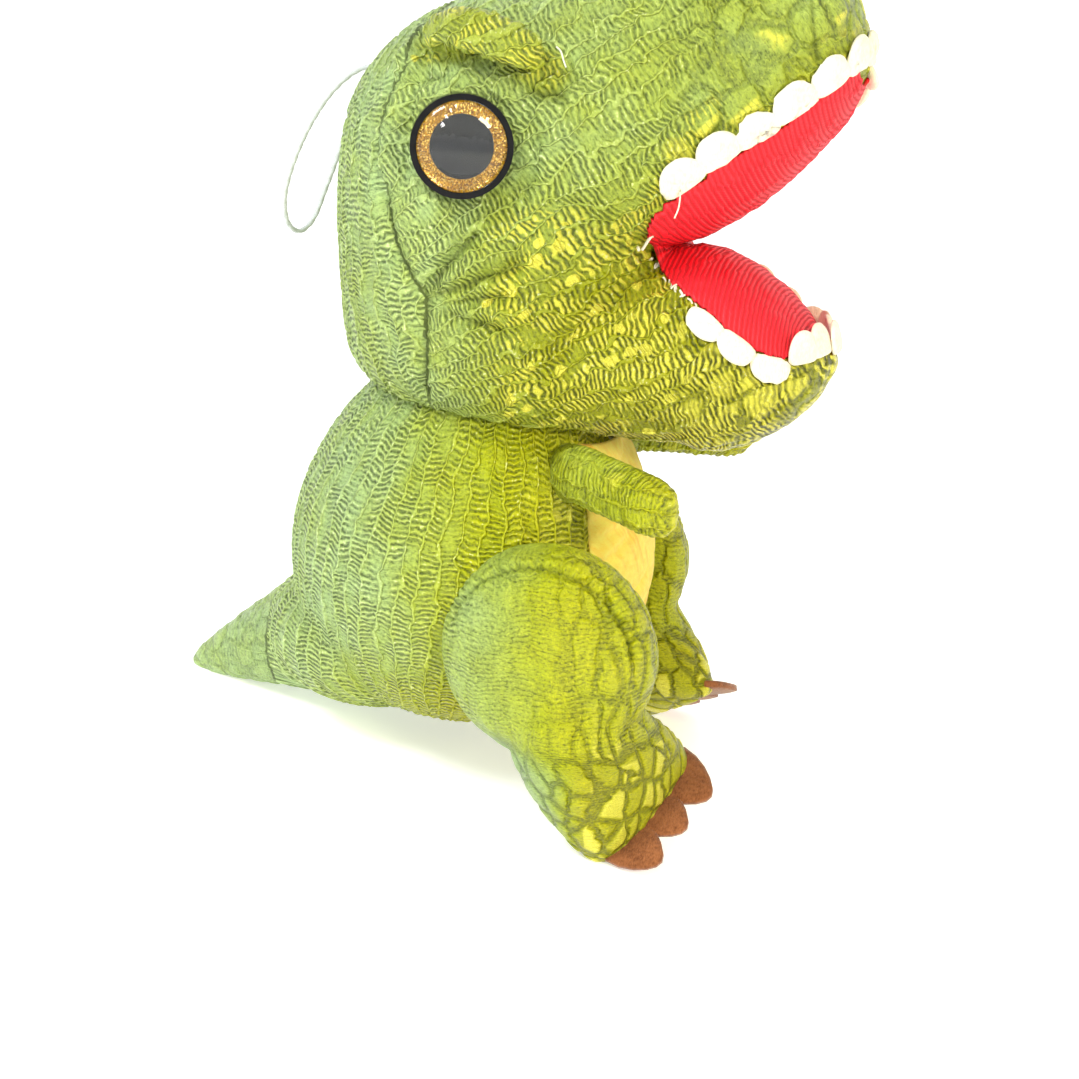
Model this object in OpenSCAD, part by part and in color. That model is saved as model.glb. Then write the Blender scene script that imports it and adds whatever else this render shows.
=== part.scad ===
// Stuffed dinosaur: a plush tyrannosaur with an open felt-toothed mouth, glitter eyes,
// short arms, stuffed thighs with clawed feet, a tail and a hanging loop.
// It faces -Y, +X is its left side and +Z is up. It rests on both feet and its tail.

/* [Stance] */
// Angle the whole toy leans back so that both feet and the tail meet the ground
lean = 8.6; // [7:0.1:9.5]
// Depth to which the fabric flattens where it meets the ground
settle = 0.6; // [0.3:0.1:0.9]

/* [Fabric] */
// Thickness of the crinkled skin fabric with its backing
skin_t = 1.2; // [1:0.1:1.6]
// Thickness of the ribbed mouth lining
lining_t = 1.0; // [0.8:0.1:1.4]
// Thickness of one tooth or claw felt
felt_t = 1.3; // [1:0.1:1.6]
// Clearance between a skin and its stuffing
ease = 0.25; // [0.15:0.05:0.4]

/* [Torso] */
// Forward tilt of the torso's own axis
torso_tilt = 9; // [6:0.5:12]
// Angle of the belly panel round the torso
belly_angle = 64; // [50:1:80]

/* [Tail] */
// Radius of the tail at its root
tail_root_r = 21; // [19:0.5:23]
// Length of the tail from its root to the tip
tail_len = 50; // [46:0.5:52]

/* [Eyes] */
// Diameter of one eye
eye_d = 24; // [22:0.5:26]
// Height of the clear dome of an eye
eye_dome_h = 4.5; // [4:0.1:5.5]
// Radius of the shank that passes through the skin
shank_r = 2.5; // [2:0.1:3]
// Turn of each eye towards the front
eye_turn = 22; // [15:1:28]

/* [Mouth] */
// Width of one tooth scallop
tooth_w = 9.5; // [9:0.5:10]
// Number of upper teeth on each side
upper_side_teeth = 5; // [4:1:6]
// Number of lower teeth on each side
lower_side_teeth = 2; // [2:1:3]

/* [Limbs] */
// Radius of a stuffed thigh
thigh_r = 28; // [26:0.5:29]
// Length of one arm
arm_len = 34; // [30:1:36]
// Length of a claw beyond the toe seam
claw_len = 14; // [12:0.5:16]
// Width of a claw at its root
claw_w = 11; // [9:0.5:12]

// Distance by which the left leg sits further back than the right
left_leg_back = 11; // [0:1:12]
// Extra outward turn of the left foot
left_foot_turn = 20; // [0:5:40]

/* [Hanging loop] */
// Diameter of the twisted cord
cord_d = 1.4; // [1.2:0.1:1.8]

/* [Hidden] */
$fn = 64;
SIDES = 28;
GREEN = [0.62, 0.70, 0.20];
LEAF = [0.66, 0.74, 0.28];
YELLOW = [0.97, 0.85, 0.42];
RED = [0.85, 0.09, 0.14];
CREAM = [0.95, 0.92, 0.82];
BROWN = [0.55, 0.28, 0.12];
BLACK = [0.05, 0.05, 0.06];
GOLD = [0.78, 0.58, 0.16];
CLEAR = [0.85, 0.90, 0.95, 0.4];
WHITE = [0.95, 0.95, 0.94];
NYLON = [0.90, 0.90, 0.88];
PAD = [0.93, 0.93, 0.90];
BEANS = [0.80, 0.78, 0.72];

// Height of the ground under the toy before it is set down
ground_z = 8.2 + settle;
// Middle of the toy's outline on the ground, before it is set down
middle = [0, 8.1];
// Centre line of the torso where it crosses the base
torso_foot = [0, 9, 20];
// Torso outline as [radius, height along its axis]
torso_profile = [[12, 1], [23, 4.5], [32, 10], [39.5, 18], [45, 28], [48, 39], [48.5, 50],
    [46.5, 62], [42, 74], [37.5, 82], [33, 87]];
neck_h = 87;
// Mouth corner axis, about which the jaw turns
jaw_pivot = [-53, 151];
// Neck axis, about which the head nods
neck_pivot = [-7, 106];
hip_pivot = [-34, 53];
hip_x = 37;
thigh_out = 20;
shoulder = [30, -37, 97];
eye_at = [46.5, -14.5, 176.5];
tail_root = [44, 39];
tail_drop = 18.5;

// Head sections as [lower end [y, z], upper end [y, z], half width, squareness below]
head_rows = [
    [[-43, 105], [26, 115.5], 33.5, 2.2],
    [[-49.5, 111], [31, 125], 41.5, 2.2],
    [[-53, 123], [32, 145], 46, 2.2],
    [[-54, 138.5], [31.5, 168], 47.5, 2.3],
    [[-54, 147.5], [26, 190], 48, 2.4],
    [[-54.2, 151.8], [10, 206], 46, 2.4],
    [[-56, 153.2], [-12, 214], 43, 2.4],
    [[-61.5, 155], [-34, 219], 38, 2.4],
    [[-70.5, 159.3], [-52, 223], 33.5, 2.4],
    [[-80.5, 166], [-68, 225], 30, 2.4],
    [[-89, 174.5], [-83, 223], 26.5, 2.4],
    [[-96, 183], [-94.5, 215], 20, 2.3],
    [[-99.5, 190], [-99, 206], 11, 2.2]];
// Jaw sections from its root to its tip, in the same form
jaw_rows = [
    [[-59.5, 101], [-54.5, 148.5], 34, 2.2],
    [[-67, 99.5], [-62.5, 146.2], 32, 2.4],
    [[-77, 102], [-73, 145], 28.5, 2.6],
    [[-86, 107], [-82.5, 140.5], 23.5, 2.6],
    [[-92.5, 113.5], [-90.5, 132], 16.5, 2.4],
    [[-95.5, 119], [-95.5, 126], 8, 2.2]];
// Route of the hanging loop, from one end stitch round to the other
loop_route = [[-3, 24, 194.5], [-4, 30, 193], [-6, 36, 188], [-7, 42, 180], [-8, 47, 170],
    [-8, 50, 161], [-5, 51, 154], [0, 50, 151], [5, 48, 154], [7, 45, 162], [7, 41, 171],
    [6, 37, 180], [4, 31, 189], [3, 24, 194.5]];

// ---- shared geometry ----

// Sets the upright toy down on the ground
module stand() {
    translate([-middle[0], -middle[1], -ground_z]) rotate([-lean, 0, 0]) children();
}

// Everything below the ground plane, a little proud of the settled fabric
module ground_cut() {
    translate([-150, -150, -60]) cube([300, 300, 60]);
}

module on_side(side) {
    if (side < 0) children(); else mirror([1, 0, 0]) children();
}

// Legs are a pair, but the left one sits further back
module leg_side(side) {
    if (side < 0) children(); else translate([0, left_leg_back, 0.15 * left_leg_back])
        mirror([1, 0, 0]) children();
}

function power(v, e) = sign(v) * pow(abs(v), e);

// One section ring between a lower and an upper end, shrunk by inset
function section_ring(row, inset) =
    let (lo = row[0], hi = row[1], mid = (lo + hi) / 2, half = norm(hi - lo) / 2 - inset,
        dir = (hi - lo) / norm(hi - lo), a = row[2] - inset)
    [for (i = [0 : SIDES - 1]) let (t = 360 * (i + 0.5) / SIDES, e = sin(t) < 0 ? row[3] : 2.2,
        u = a * power(cos(t), 2 / e), v = half * power(sin(t), 2 / e))
        [u, mid[0] + v * dir[0], mid[1] + v * dir[1]]];

function joined(lists) = [for (l = lists) each l];

// Side triangles between count rings of n points, starting at point index base
function wall_faces(base, count, n, inside) = [for (r = [0 : count - 2], i = [0 : n - 1])
    let (a = base + r * n + i, b = base + r * n + (i + 1) % n, c = a + n, d = b + n)
    each inside ? [[a, b, c], [b, d, c]] : [[a, c, b], [b, c, d]]];

function cap_faces(ring_base, tip, n, inside) = [for (i = [0 : n - 1])
    let (a = ring_base + i, b = ring_base + (i + 1) % n) inside ? [a, b, tip] : [a, tip, b]];

function mean(points) = [for (k = [0 : 2]) [for (p = points) p[k]] * [for (p = points) 1] / len(points)];

// Closed solid through a list of rings, with a fan at each end
module ring_solid(rings) {
    n = len(rings[0]);
    count = len(rings);
    points = concat(joined(rings), [mean(rings[0]), mean(rings[count - 1])]);
    faces = concat(wall_faces(0, count, n, false), cap_faces(0, count * n, n, true),
        cap_faces((count - 1) * n, count * n + 1, n, false));
    polyhedron(points = points, faces = faces, convexity = 8);
}

// Cup of fabric, open at its first ring and closed at its last
module ring_cup(outer, inner) {
    n = len(outer[0]);
    count = len(outer);
    base = count * n;
    points = concat(joined(outer), joined(inner),
        [mean(outer[count - 1]), mean(inner[count - 1])]);
    tip = 2 * count * n;
    rim = [for (i = [0 : n - 1]) let (a = i, b = (i + 1) % n)
        each [[a, b, base + a], [b, base + b, base + a]]];
    faces = concat(wall_faces(0, count, n, false), cap_faces((count - 1) * n, tip, n, false),
        wall_faces(base, count, n, true), cap_faces(base + (count - 1) * n, tip + 1, n, true),
        rim);
    polyhedron(points = points, faces = faces, convexity = 8);
}

function inset_rings(rows, inset) = [for (row = rows) section_ring(row, inset)];

// Rows with the last one drawn back, so that an inner layer clears the tip
function drawn_back(rows, gap) = let (k = len(rows) - 1, prev = rows[k - 1], last = rows[k], f = gap)
    [for (i = [0 : k]) i < k ? rows[i] : [last[0] * (1 - f) + prev[0] * f,
        last[1] * (1 - f) + prev[1] * f, last[2], last[3]]];

// ---- torso ----

function shrunk(profile, inset) = [for (p = profile) [max(p[0] - inset, 0.5), p[1] + (p[1] < 20 ? inset : 0)]];

module torso_place() {
    translate(torso_foot) rotate([torso_tilt, 0, 0]) children();
}

module torso_wall(turn) {
    outer = concat([[0, 0]], torso_profile);
    inner = concat([[0, skin_t]], shrunk(torso_profile, skin_t));
    back = [for (i = [len(inner) - 1 : -1 : 0]) [inner[i][0], min(inner[i][1], neck_h)]];
    rotate_extrude(angle = turn) polygon(concat(outer, back));
}

// Space kept free for the thigh
module hip_clearance(side) {
    leg_side(side) translate([-hip_x + 0.4, hip_pivot[0], hip_pivot[1]]) rotate([0, -90, 0])
        cylinder(r = thigh_r + 0.8, h = 40);
}

module torso_skin() {
    color(GREEN) stand() difference() {
        torso_place() rotate([0, 0, -90 + belly_angle / 2]) torso_wall(360 - belly_angle);
        hip_clearance(-1);
        hip_clearance(1);
    }
}

module belly_panel() {
    color(YELLOW) stand() difference() {
        torso_place() rotate([0, 0, -90 - belly_angle / 2]) torso_wall(belly_angle);
        hip_clearance(-1);
        hip_clearance(1);
    }
}

pouch_r = 24;
pouch_h = 9;
pouch_z = 6.5;

module torso_stuffing() {
    inset = skin_t + ease;
    profile = concat([[0, inset]], shrunk(torso_profile, inset), [[0, neck_h]]);
    color(PAD) stand() difference() {
        torso_place() rotate_extrude() polygon(profile);
        torso_place() translate([0, 0, -1]) cylinder(r = pouch_r + ease, h = pouch_z + pouch_h + ease + 1);
        hip_clearance(-1);
        hip_clearance(1);
    }
}

module bean_pouch() {
    color(BEANS) stand() torso_place() translate([0, 0, pouch_z])
        rotate_extrude() polygon([[0, 0], [pouch_r - 3, 0], [pouch_r, 2.5], [pouch_r, pouch_h - 2],
            [pouch_r - 3, pouch_h], [0, pouch_h]]);
}

// ---- tail ----

// Tail axis: +Z runs from the root to the tip
module tail_place() {
    translate([0, tail_root[0], tail_root[1]]) rotate([-90 - tail_drop, 0, 0]) children();
}

tail_start = 0;

// Space taken by the torso, which the root of the tail is cut back from
module torso_space() {
    gap = 0.5;
    torso_place() rotate_extrude() polygon(concat([[0, -gap]],
        [for (p = torso_profile) [p[0] + gap, p[1] - gap * (p[1] < 20 ? 1 : 0)]], [[0, neck_h]]));
}

function tail_radius(s) = tail_root_r * pow(1 - s, 0.62) * (1 - 0.2 * s);
function tail_curve(inset) = [for (k = [0 : 9]) let (s = k / 10)
    [max(tail_radius(s) - inset, 1), tail_start + s * (tail_len - tail_start)]];

module tail_skin() {
    outer = concat(tail_curve(0), [[0, tail_len]]);
    inner = concat([[0, tail_len - 3]], [for (k = [9 : -1 : 0]) tail_curve(skin_t)[k]]);
    color(GREEN) difference() {
        stand() difference() {
            tail_place() rotate_extrude() polygon(concat(outer, inner));
            torso_space();
        }
        ground_cut();
    }
}

module tail_stuffing() {
    inset = skin_t + ease;
    color(PAD) stand() difference() {
        tail_place() rotate_extrude()
            polygon(concat([[0, tail_start]], tail_curve(inset), [[0, tail_len - 4]]));
        torso_space();
    }
}

// ---- head ----

module eye_place(side) {
    on_side(side) translate([-eye_at[0], eye_at[1], eye_at[2]]) rotate([0, 0, eye_turn])
        rotate([0, -90 - 5, 0]) children();
}

module head_skin() {
    color(LEAF) stand() difference() {
        ring_cup(inset_rings(head_rows, 0), inset_rings(drawn_back(head_rows, 0.4), skin_t));
        for (side = [-1, 1]) eye_place(side) translate([0, 0, -14]) cylinder(r = shank_r + 0.2, h = 30);
        for (side = [-1, 1]) eye_place(side) translate([0, 0, -2.2]) cylinder(r = eye_d / 2 + 0.3, h = 30);
    }
}

module head_stuffing() {
    color(PAD) stand() difference() {
        ring_solid(inset_rings(drawn_back(head_rows, 0.7), skin_t + ease));
        for (side = [-1, 1]) eye_place(side) translate([0, 0, -12]) cylinder(r = eye_d / 2 + 0.6, h = 40);
    }
}

// Curved lining that lies on part of each section, from ring point first to ring point last
module lining(rows, first, last) {
    gap = 0.06;
    arc = [for (layer = [gap, gap + lining_t]) [for (row = rows) let (ring = section_ring(row, -layer))
        [for (i = [first : last]) ring[i]]]];
    n = last - first + 1;
    count = len(rows);
    base = count * n;
    inner = [for (r = [0 : count - 2], i = [0 : n - 2]) let (a = r * n + i)
        each [[a, a + 1, a + n], [a + 1, a + n + 1, a + n]]];
    outer = [for (f = inner) [f[0] + base, f[2] + base, f[1] + base]];
    sides = [for (r = [0 : count - 2]) let (a = r * n, b = a + n - 1)
        each [[a, a + n, a + base], [a + n, a + n + base, a + base],
            [b, b + base, b + n], [b + n, b + base, b + n + base]]];
    ends = [for (i = [0 : n - 2]) let (a = i, b = (count - 1) * n + i)
        each [[a, a + base, a + 1], [a + 1, a + base, a + 1 + base],
            [b, b + 1, b + base], [b + 1, b + 1 + base, b + base]]];
    polyhedron(points = concat(joined(arc[0]), joined(arc[1])),
        faces = concat(inner, outer, sides, ends), convexity = 6);
}

module palate_lining() {
    color(RED) stand() lining([for (k = [6 : 11]) head_rows[k]], 16, 25);
}

// One scalloped tooth of felt, standing up from its sewn edge at the origin
module tooth(width, height) {
    r = width / 2;
    rotate([90, 0, 0]) translate([0, 0, -felt_t / 2]) linear_extrude(felt_t)
        union() {
            translate([-r, 0]) square([width, height - r]);
            translate([0, height - r]) circle(r = r);
        }
}

// Place along the upper lip, from the corner (0) to the tip (1), as [x, y, z]
function upper_lip(s) = [-29.5 * sqrt(max(1 - pow(s, 3), 0)), -57 - 42.5 * s, 162.5 + 31.5 * s];
function lower_lip(s) = [-27 * sqrt(max(1 - pow(s, 2.8), 0)), -63 - 32 * s, 141 - 15 * s];

module upper_teeth() {
    color(CREAM) stand() {
        for (side = [-1, 1], k = [0 : upper_side_teeth - 1]) on_side(side) {
            s = 0.2 + 0.68 * k / (upper_side_teeth - 1);
            p = upper_lip(s);
            translate(p + [-1.2, 0, 0]) rotate([0, 0, -90 + 45 * pow(s, 3)])
                rotate([-12, 0, 0]) rotate([0, -40, 0]) tooth(tooth_w, 8);
        }
        translate([0, -100.5, 194]) rotate([-5, 0, 0]) tooth(tooth_w, 8);
    }
}

module brow(side) {
    color(LEAF) stand() on_side(side) translate([-37, -17, 197.5]) rotate([0, 0, 10])
        rotate([14, 0, 0]) rotate([90, 0, 0]) scale([0.8, 0.75, 2.7])
            sphere(r = 5.5, $fn = 40);
}
module right_brow() { brow(-1); }
module left_brow() { brow(1); }

// ---- eyes ----

rim_h = 3;
back_t = 1.2;
iris_t = 0.6;
washer_r = 8;

// Black back with its raised rim and the shank that goes through the skin
module eye_back(side) {
    r = eye_d / 2;
    color(BLACK) stand() eye_place(side) rotate_extrude()
        polygon([[0, -12], [shank_r, -12], [shank_r, -1.8], [r - 0.6, -1.8], [r, -1.2],
            [r, rim_h - 1.2], [r - 1.4, rim_h - 1.2], [r - 1.4, 0], [0, 0]]);
}

module eye_iris(side) {
    color(GOLD) stand() eye_place(side) translate([0, 0, 0]) difference() {
        cylinder(r = eye_d / 2 - 1.5, h = iris_t);
        translate([0, 0, -1]) cylinder(r = eye_d * 0.3, h = 4);
    }
}

module eye_pupil(side) {
    color(BLACK) stand() eye_place(side) cylinder(r = eye_d * 0.3 - 0.05, h = iris_t);
}

// Clear domed cap over the iris and the pupil
module eye_dome(side) {
    base = iris_t + 0.05;
    r = eye_d / 2 - 1.5;
    high = eye_dome_h - base;
    curve = [for (k = [0 : 12]) let (t = 90 * k / 12) [r * cos(t), base + 1 + (high - 1) * sin(t)]];
    color(CLEAR) stand() eye_place(side) rotate_extrude()
        polygon(concat([[0, base], [r, base]], [for (k = [0 : 11]) curve[k]], [[0, base + high]]));
}

module eye_washer(side) {
    color(WHITE) stand() eye_place(side) translate([0, 0, -9]) difference() {
        cylinder(r = washer_r, h = 1.6);
        translate([0, 0, -1]) cylinder(r = shank_r + 0.05, h = 4);
    }
}

module right_eye_back() { eye_back(-1); }
module right_eye_iris() { eye_iris(-1); }
module right_eye_pupil() { eye_pupil(-1); }
module right_eye_dome() { eye_dome(-1); }
module right_eye_washer() { eye_washer(-1); }
module left_eye_back() { eye_back(1); }
module left_eye_iris() { eye_iris(1); }
module left_eye_pupil() { eye_pupil(1); }
module left_eye_dome() { eye_dome(1); }
module left_eye_washer() { eye_washer(1); }

// ---- hanging loop ----

// Point on a smooth curve through the route, between points k and k + 1
function smooth_point(route, k, u) =
    let (n = len(route), p0 = route[max(k - 1, 0)], p1 = route[k], p2 = route[k + 1],
        p3 = route[min(k + 2, n - 1)])
    0.5 * (2 * p1 + (p2 - p0) * u + (2 * p0 - 5 * p1 + 4 * p2 - p3) * u * u
        + (3 * p1 - p0 - 3 * p2 + p3) * u * u * u);

cord_sides = 8;
cord_steps = 3;
cord_line = concat([for (k = [0 : len(loop_route) - 2], j = [0 : cord_steps - 1])
    smooth_point(loop_route, k, j / cord_steps)], [loop_route[len(loop_route) - 1]]);

function unit(v) = v / norm(v);

// Ring of the cord round one point of its line
function cord_ring(line, i) =
    let (n = len(line), along = unit(line[min(i + 1, n - 1)] - line[max(i - 1, 0)]),
        wide = unit(cross(along, [0.3, 0.2, 0.1] + [1, 0, 0])), up = cross(along, wide))
    [for (j = [0 : cord_sides - 1]) let (t = 360 * j / cord_sides)
        line[i] + cord_d / 2 * (wide * cos(t) + up * sin(t))];

module hang_loop() {
    color(NYLON) stand()
        ring_solid([for (i = [0 : len(cord_line) - 1]) cord_ring(cord_line, i)]);
}

// ---- jaw ----

module jaw_skin() {
    color(LEAF) stand()
        ring_cup(inset_rings(jaw_rows, 0), inset_rings(drawn_back(jaw_rows, 0.4), skin_t));
}

module jaw_stuffing() {
    color(PAD) stand() ring_solid(inset_rings(drawn_back(jaw_rows, 0.7), skin_t + ease));
}

module mouth_floor() {
    color(RED) stand() lining([for (k = [1 : 4]) jaw_rows[k]], 3, 10);
}

module lower_teeth() {
    color(CREAM) stand() {
        for (side = [-1, 1], k = [0 : lower_side_teeth - 1]) on_side(side) {
            s = 0.2 + 0.45 * k / (lower_side_teeth - 1);
            p = lower_lip(s);
            translate(p + [-1, 0, 0]) rotate([0, 0, -90]) rotate([150, 0, 0]) tooth(tooth_w, 7);
        }
        for (x = [-11, 0, 11]) translate([x, -96.5 + abs(x) * 0.35, 125]) tooth(tooth_w, 8);
    }
}

// ---- arms ----

arm_half = 7.5;
arm_thick = 5;
function arm_ring(s, inset) = let (a = (arm_half - inset) * (s > 0.8 ? sqrt(1 - pow((s - 0.8) / 0.26, 2)) : 1),
        b = (arm_thick - inset) * (s > 0.7 ? sqrt(1 - pow((s - 0.7) / 0.33, 2)) : 1))
    [for (i = [0 : 15]) let (t = 360 * (i + 0.5) / 16) [b * cos(t), a * sin(t), s * arm_len]];

module arm_place(side) {
    on_side(side) translate([-shoulder[0], shoulder[1], shoulder[2]]) rotate([0, 0, -32])
        rotate([97, 0, 0]) translate([0, 0, 2]) children();
}

module arm_skin(side) {
    steps = [0, 0.2, 0.45, 0.7, 0.85, 0.95, 1];
    inner_steps = [0, 0.2, 0.45, 0.68, 0.8, 0.88, 0.92];
    color(GREEN) stand() arm_place(side)
        ring_cup([for (s = steps) arm_ring(s, 0)], [for (s = inner_steps) arm_ring(s, skin_t)]);
}

module arm_stuffing(side) {
    steps = [0, 0.2, 0.45, 0.66, 0.78, 0.86];
    color(PAD) stand() arm_place(side) ring_solid([for (s = steps) arm_ring(s, skin_t + ease)]);
}

module right_arm_skin() { arm_skin(-1); }
module right_arm_stuffing() { arm_stuffing(-1); }
module left_arm_skin() { arm_skin(1); }
module left_arm_stuffing() { arm_stuffing(1); }

// ---- legs ----

// Thigh axis: +Z runs outwards from the torso
module thigh_place(side) {
    leg_side(side) translate([-hip_x, hip_pivot[0], hip_pivot[1]]) rotate([0, -90, 0]) children();
}

function thigh_curve(inset) = [for (k = [0 : 10]) let (t = 90 * k / 10)
    [(thigh_r - inset) * pow(cos(t), 0.6), 2 + (thigh_out - 2 - inset) * pow(sin(t), 0.9)]];

module thigh_skin(side) {
    outer = concat([[thigh_r - 1, 0]], [for (k = [0 : 9]) thigh_curve(0)[k]], [[0, thigh_out]]);
    inner = concat([[0, thigh_out - skin_t]], [for (k = [9 : -1 : 0]) thigh_curve(skin_t)[k]],
        [[thigh_r - 1 - skin_t, 0]]);
    color(GREEN) stand() thigh_place(side) rotate_extrude() polygon(concat(outer, inner));
}

module thigh_stuffing(side) {
    inset = skin_t + ease;
    color(PAD) stand() thigh_place(side) rotate_extrude() polygon(concat([[0, 0]],
        [[thigh_r - 1 - inset, 0]], [for (k = [0 : 9]) thigh_curve(inset)[k]],
        [[0, thigh_out - inset]]));
}

// Foot sections as [centre, half width, half thickness], from the thigh to the toe seam
foot_rows = [
    [[-44, -42, 33], 17.5, 14],
    [[-41.5, -46, 26], 18.5, 14],
    [[-38, -50.5, 19.5], 20, 12.5],
    [[-35.5, -54.5, 14], 20.5, 9.5],
    [[-34, -57.5, 10.5], 19.5, 6]];
// Width direction of the foot, rising towards the inner side
foot_wide = unit([0.81, -0.36, 0.47]);
foot_along = unit([10, -15.5, -22.5]);
foot_up = unit(cross(foot_along, foot_wide));

function foot_ring(row, inset) = let (c = row[0], a = row[1] - inset, b = row[2] - inset)
    [for (i = [0 : 23]) let (t = 360 * (i + 0.5) / 24)
        c + a * power(cos(t), 0.85) * foot_wide + b * power(sin(t), 0.85) * foot_up];

// The left foot turns further out about its ankle
module foot_side(side) {
    leg_side(side) translate(foot_rows[0][0]) rotate([0, 0, side < 0 ? 0 : -left_foot_turn])
        translate(-foot_rows[0][0]) children();
}

// The thigh's own space, which the foot starts from
module thigh_space(side) {
    thigh_place(side) translate([0, 0, -30]) cylinder(r = thigh_r + 0.4, h = 60);
}

module foot_skin(side) {
    count = len(foot_rows);
    inner_rows = [for (k = [0 : count - 1]) k < count - 1 ? foot_rows[k]
        : [foot_rows[k][0] - 2.4 * foot_along, foot_rows[k][1], foot_rows[k][2]]];
    color(GREEN) difference() {
        stand() difference() {
            foot_side(side) ring_cup([for (row = foot_rows) foot_ring(row, 0)],
                [for (row = inner_rows) foot_ring(row, skin_t)]);
            thigh_space(side);
        }
        ground_cut();
    }
}

module foot_stuffing(side) {
    count = len(foot_rows);
    rows = [for (k = [0 : count - 1]) k < count - 1 ? foot_rows[k]
        : [foot_rows[k][0] - 3 * foot_along, foot_rows[k][1], foot_rows[k][2]]];
    color(PAD) stand() difference() {
        foot_side(side) ring_solid([for (row = rows) foot_ring(row, skin_t + ease)]);
        thigh_space(side);
    }
}

// Flat felt claw with a rounded tip
module claw() {
    tip_r = 3;
    root = claw_w / 2;
    linear_extrude(2 * felt_t) polygon(concat([[-root, -1], [root, -1]],
        [for (k = [0 : 6]) let (t = 8 + 164 * k / 6)
            [tip_r * cos(t), claw_len - tip_r + tip_r * sin(t)]]));
}

// Frame at the toe seam: +Y runs out along the claws, +X along the seam
module toe_place(shift) {
    out = unit([-0.25, -0.96, -0.1]);
    across = unit(foot_wide - (foot_wide * out) * out);
    up = cross(across, out);
    p = foot_rows[4][0] + shift * foot_wide + 0.8 * foot_along + 1.5 * foot_up;
    multmatrix([[across[0], out[0], up[0], p[0]], [across[1], out[1], up[1], p[1]],
        [across[2], out[2], up[2], p[2]], [0, 0, 0, 1]])
        children();
}

module claws(side) {
    color(BROWN) difference() {
        stand() foot_side(side) for (shift = [-11.5, 0, 11.5]) toe_place(shift) claw();
        ground_cut();
    }
}

module right_thigh_skin() { thigh_skin(-1); }
module right_thigh_stuffing() { thigh_stuffing(-1); }
module right_foot_skin() { foot_skin(-1); }
module right_foot_stuffing() { foot_stuffing(-1); }
module right_claws() { claws(-1); }
module left_thigh_skin() { thigh_skin(1); }
module left_thigh_stuffing() { thigh_stuffing(1); }
module left_foot_skin() { foot_skin(1); }
module left_foot_stuffing() { foot_stuffing(1); }
module left_claws() { claws(1); }

// ---- drawing ----

torso_skin();
belly_panel();
torso_stuffing();
bean_pouch();
tail_skin();
tail_stuffing();
head_skin();
head_stuffing();
palate_lining();
upper_teeth();
right_brow();
left_brow();
right_eye_back();
right_eye_iris();
right_eye_pupil();
right_eye_dome();
right_eye_washer();
left_eye_back();
left_eye_iris();
left_eye_pupil();
left_eye_dome();
left_eye_washer();
hang_loop();
jaw_skin();
jaw_stuffing();
mouth_floor();
lower_teeth();
right_arm_skin();
right_arm_stuffing();
left_arm_skin();
left_arm_stuffing();
right_thigh_skin();
right_thigh_stuffing();
right_foot_skin();
right_foot_stuffing();
right_claws();
left_thigh_skin();
left_thigh_stuffing();
left_foot_skin();
left_foot_stuffing();
left_claws();
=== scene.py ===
"""Stuffed dinosaur: crinkled green skins, felt teeth and claws, glitter eyes, plush belly and a loop."""

import logging
import math
from dataclasses import dataclass, replace
from enum import Enum
from functools import cache

import bmesh
import bpy
import numpy as np
from mathutils import Matrix, Vector
from mathutils.bvhtree import BVHTree


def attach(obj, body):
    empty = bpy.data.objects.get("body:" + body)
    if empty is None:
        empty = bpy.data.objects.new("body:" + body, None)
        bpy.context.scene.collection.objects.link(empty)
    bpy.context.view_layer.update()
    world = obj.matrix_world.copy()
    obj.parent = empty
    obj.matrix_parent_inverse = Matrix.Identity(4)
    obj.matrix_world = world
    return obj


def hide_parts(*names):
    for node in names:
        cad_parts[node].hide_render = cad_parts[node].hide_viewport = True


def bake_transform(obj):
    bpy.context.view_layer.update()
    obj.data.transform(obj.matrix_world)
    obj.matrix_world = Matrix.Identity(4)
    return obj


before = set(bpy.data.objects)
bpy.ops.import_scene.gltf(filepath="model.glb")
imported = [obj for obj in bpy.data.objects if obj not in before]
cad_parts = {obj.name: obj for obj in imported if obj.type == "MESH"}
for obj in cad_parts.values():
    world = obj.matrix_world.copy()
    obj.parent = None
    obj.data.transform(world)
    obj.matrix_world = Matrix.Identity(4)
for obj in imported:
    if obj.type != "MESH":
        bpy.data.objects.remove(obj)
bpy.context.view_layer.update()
LOG = logging.getLogger("dinosaur")

# ---- the two frames: shapes are drawn upright in millimetres, then stood on feet and tail in metres ----

MM = 0.001
LEAN = math.radians(8.6)
MIDDLE_Y = 8.1
GROUND_Z = 8.8
FLOOR_GAP = 0.05


def stand(points: np.ndarray) -> np.ndarray:
    """Moves upright points to where the toy stands.

    Args:
        points: Points in millimetres, in the frame in which the toy is upright.

    Returns:
        The same points in metres, in the object's frame.
    """
    p = np.asarray(points, float).reshape(-1, 3)
    y = p[:, 1] * math.cos(LEAN) + p[:, 2] * math.sin(LEAN) - MIDDLE_Y
    z = -p[:, 1] * math.sin(LEAN) + p[:, 2] * math.cos(LEAN) - GROUND_Z
    return np.stack([p[:, 0], y, z], 1) * MM


def upright(points: np.ndarray) -> np.ndarray:
    """Takes points of the standing toy back to the upright frame.

    Args:
        points: Points in metres, in the object's frame.

    Returns:
        The same points in millimetres, in the upright frame.
    """
    p = np.asarray(points, float).reshape(-1, 3) / MM + (0, MIDDLE_Y, GROUND_Z)
    y = p[:, 1] * math.cos(LEAN) - p[:, 2] * math.sin(LEAN)
    z = p[:, 1] * math.sin(LEAN) + p[:, 2] * math.cos(LEAN)
    return np.stack([p[:, 0], y, z], 1)


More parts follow.
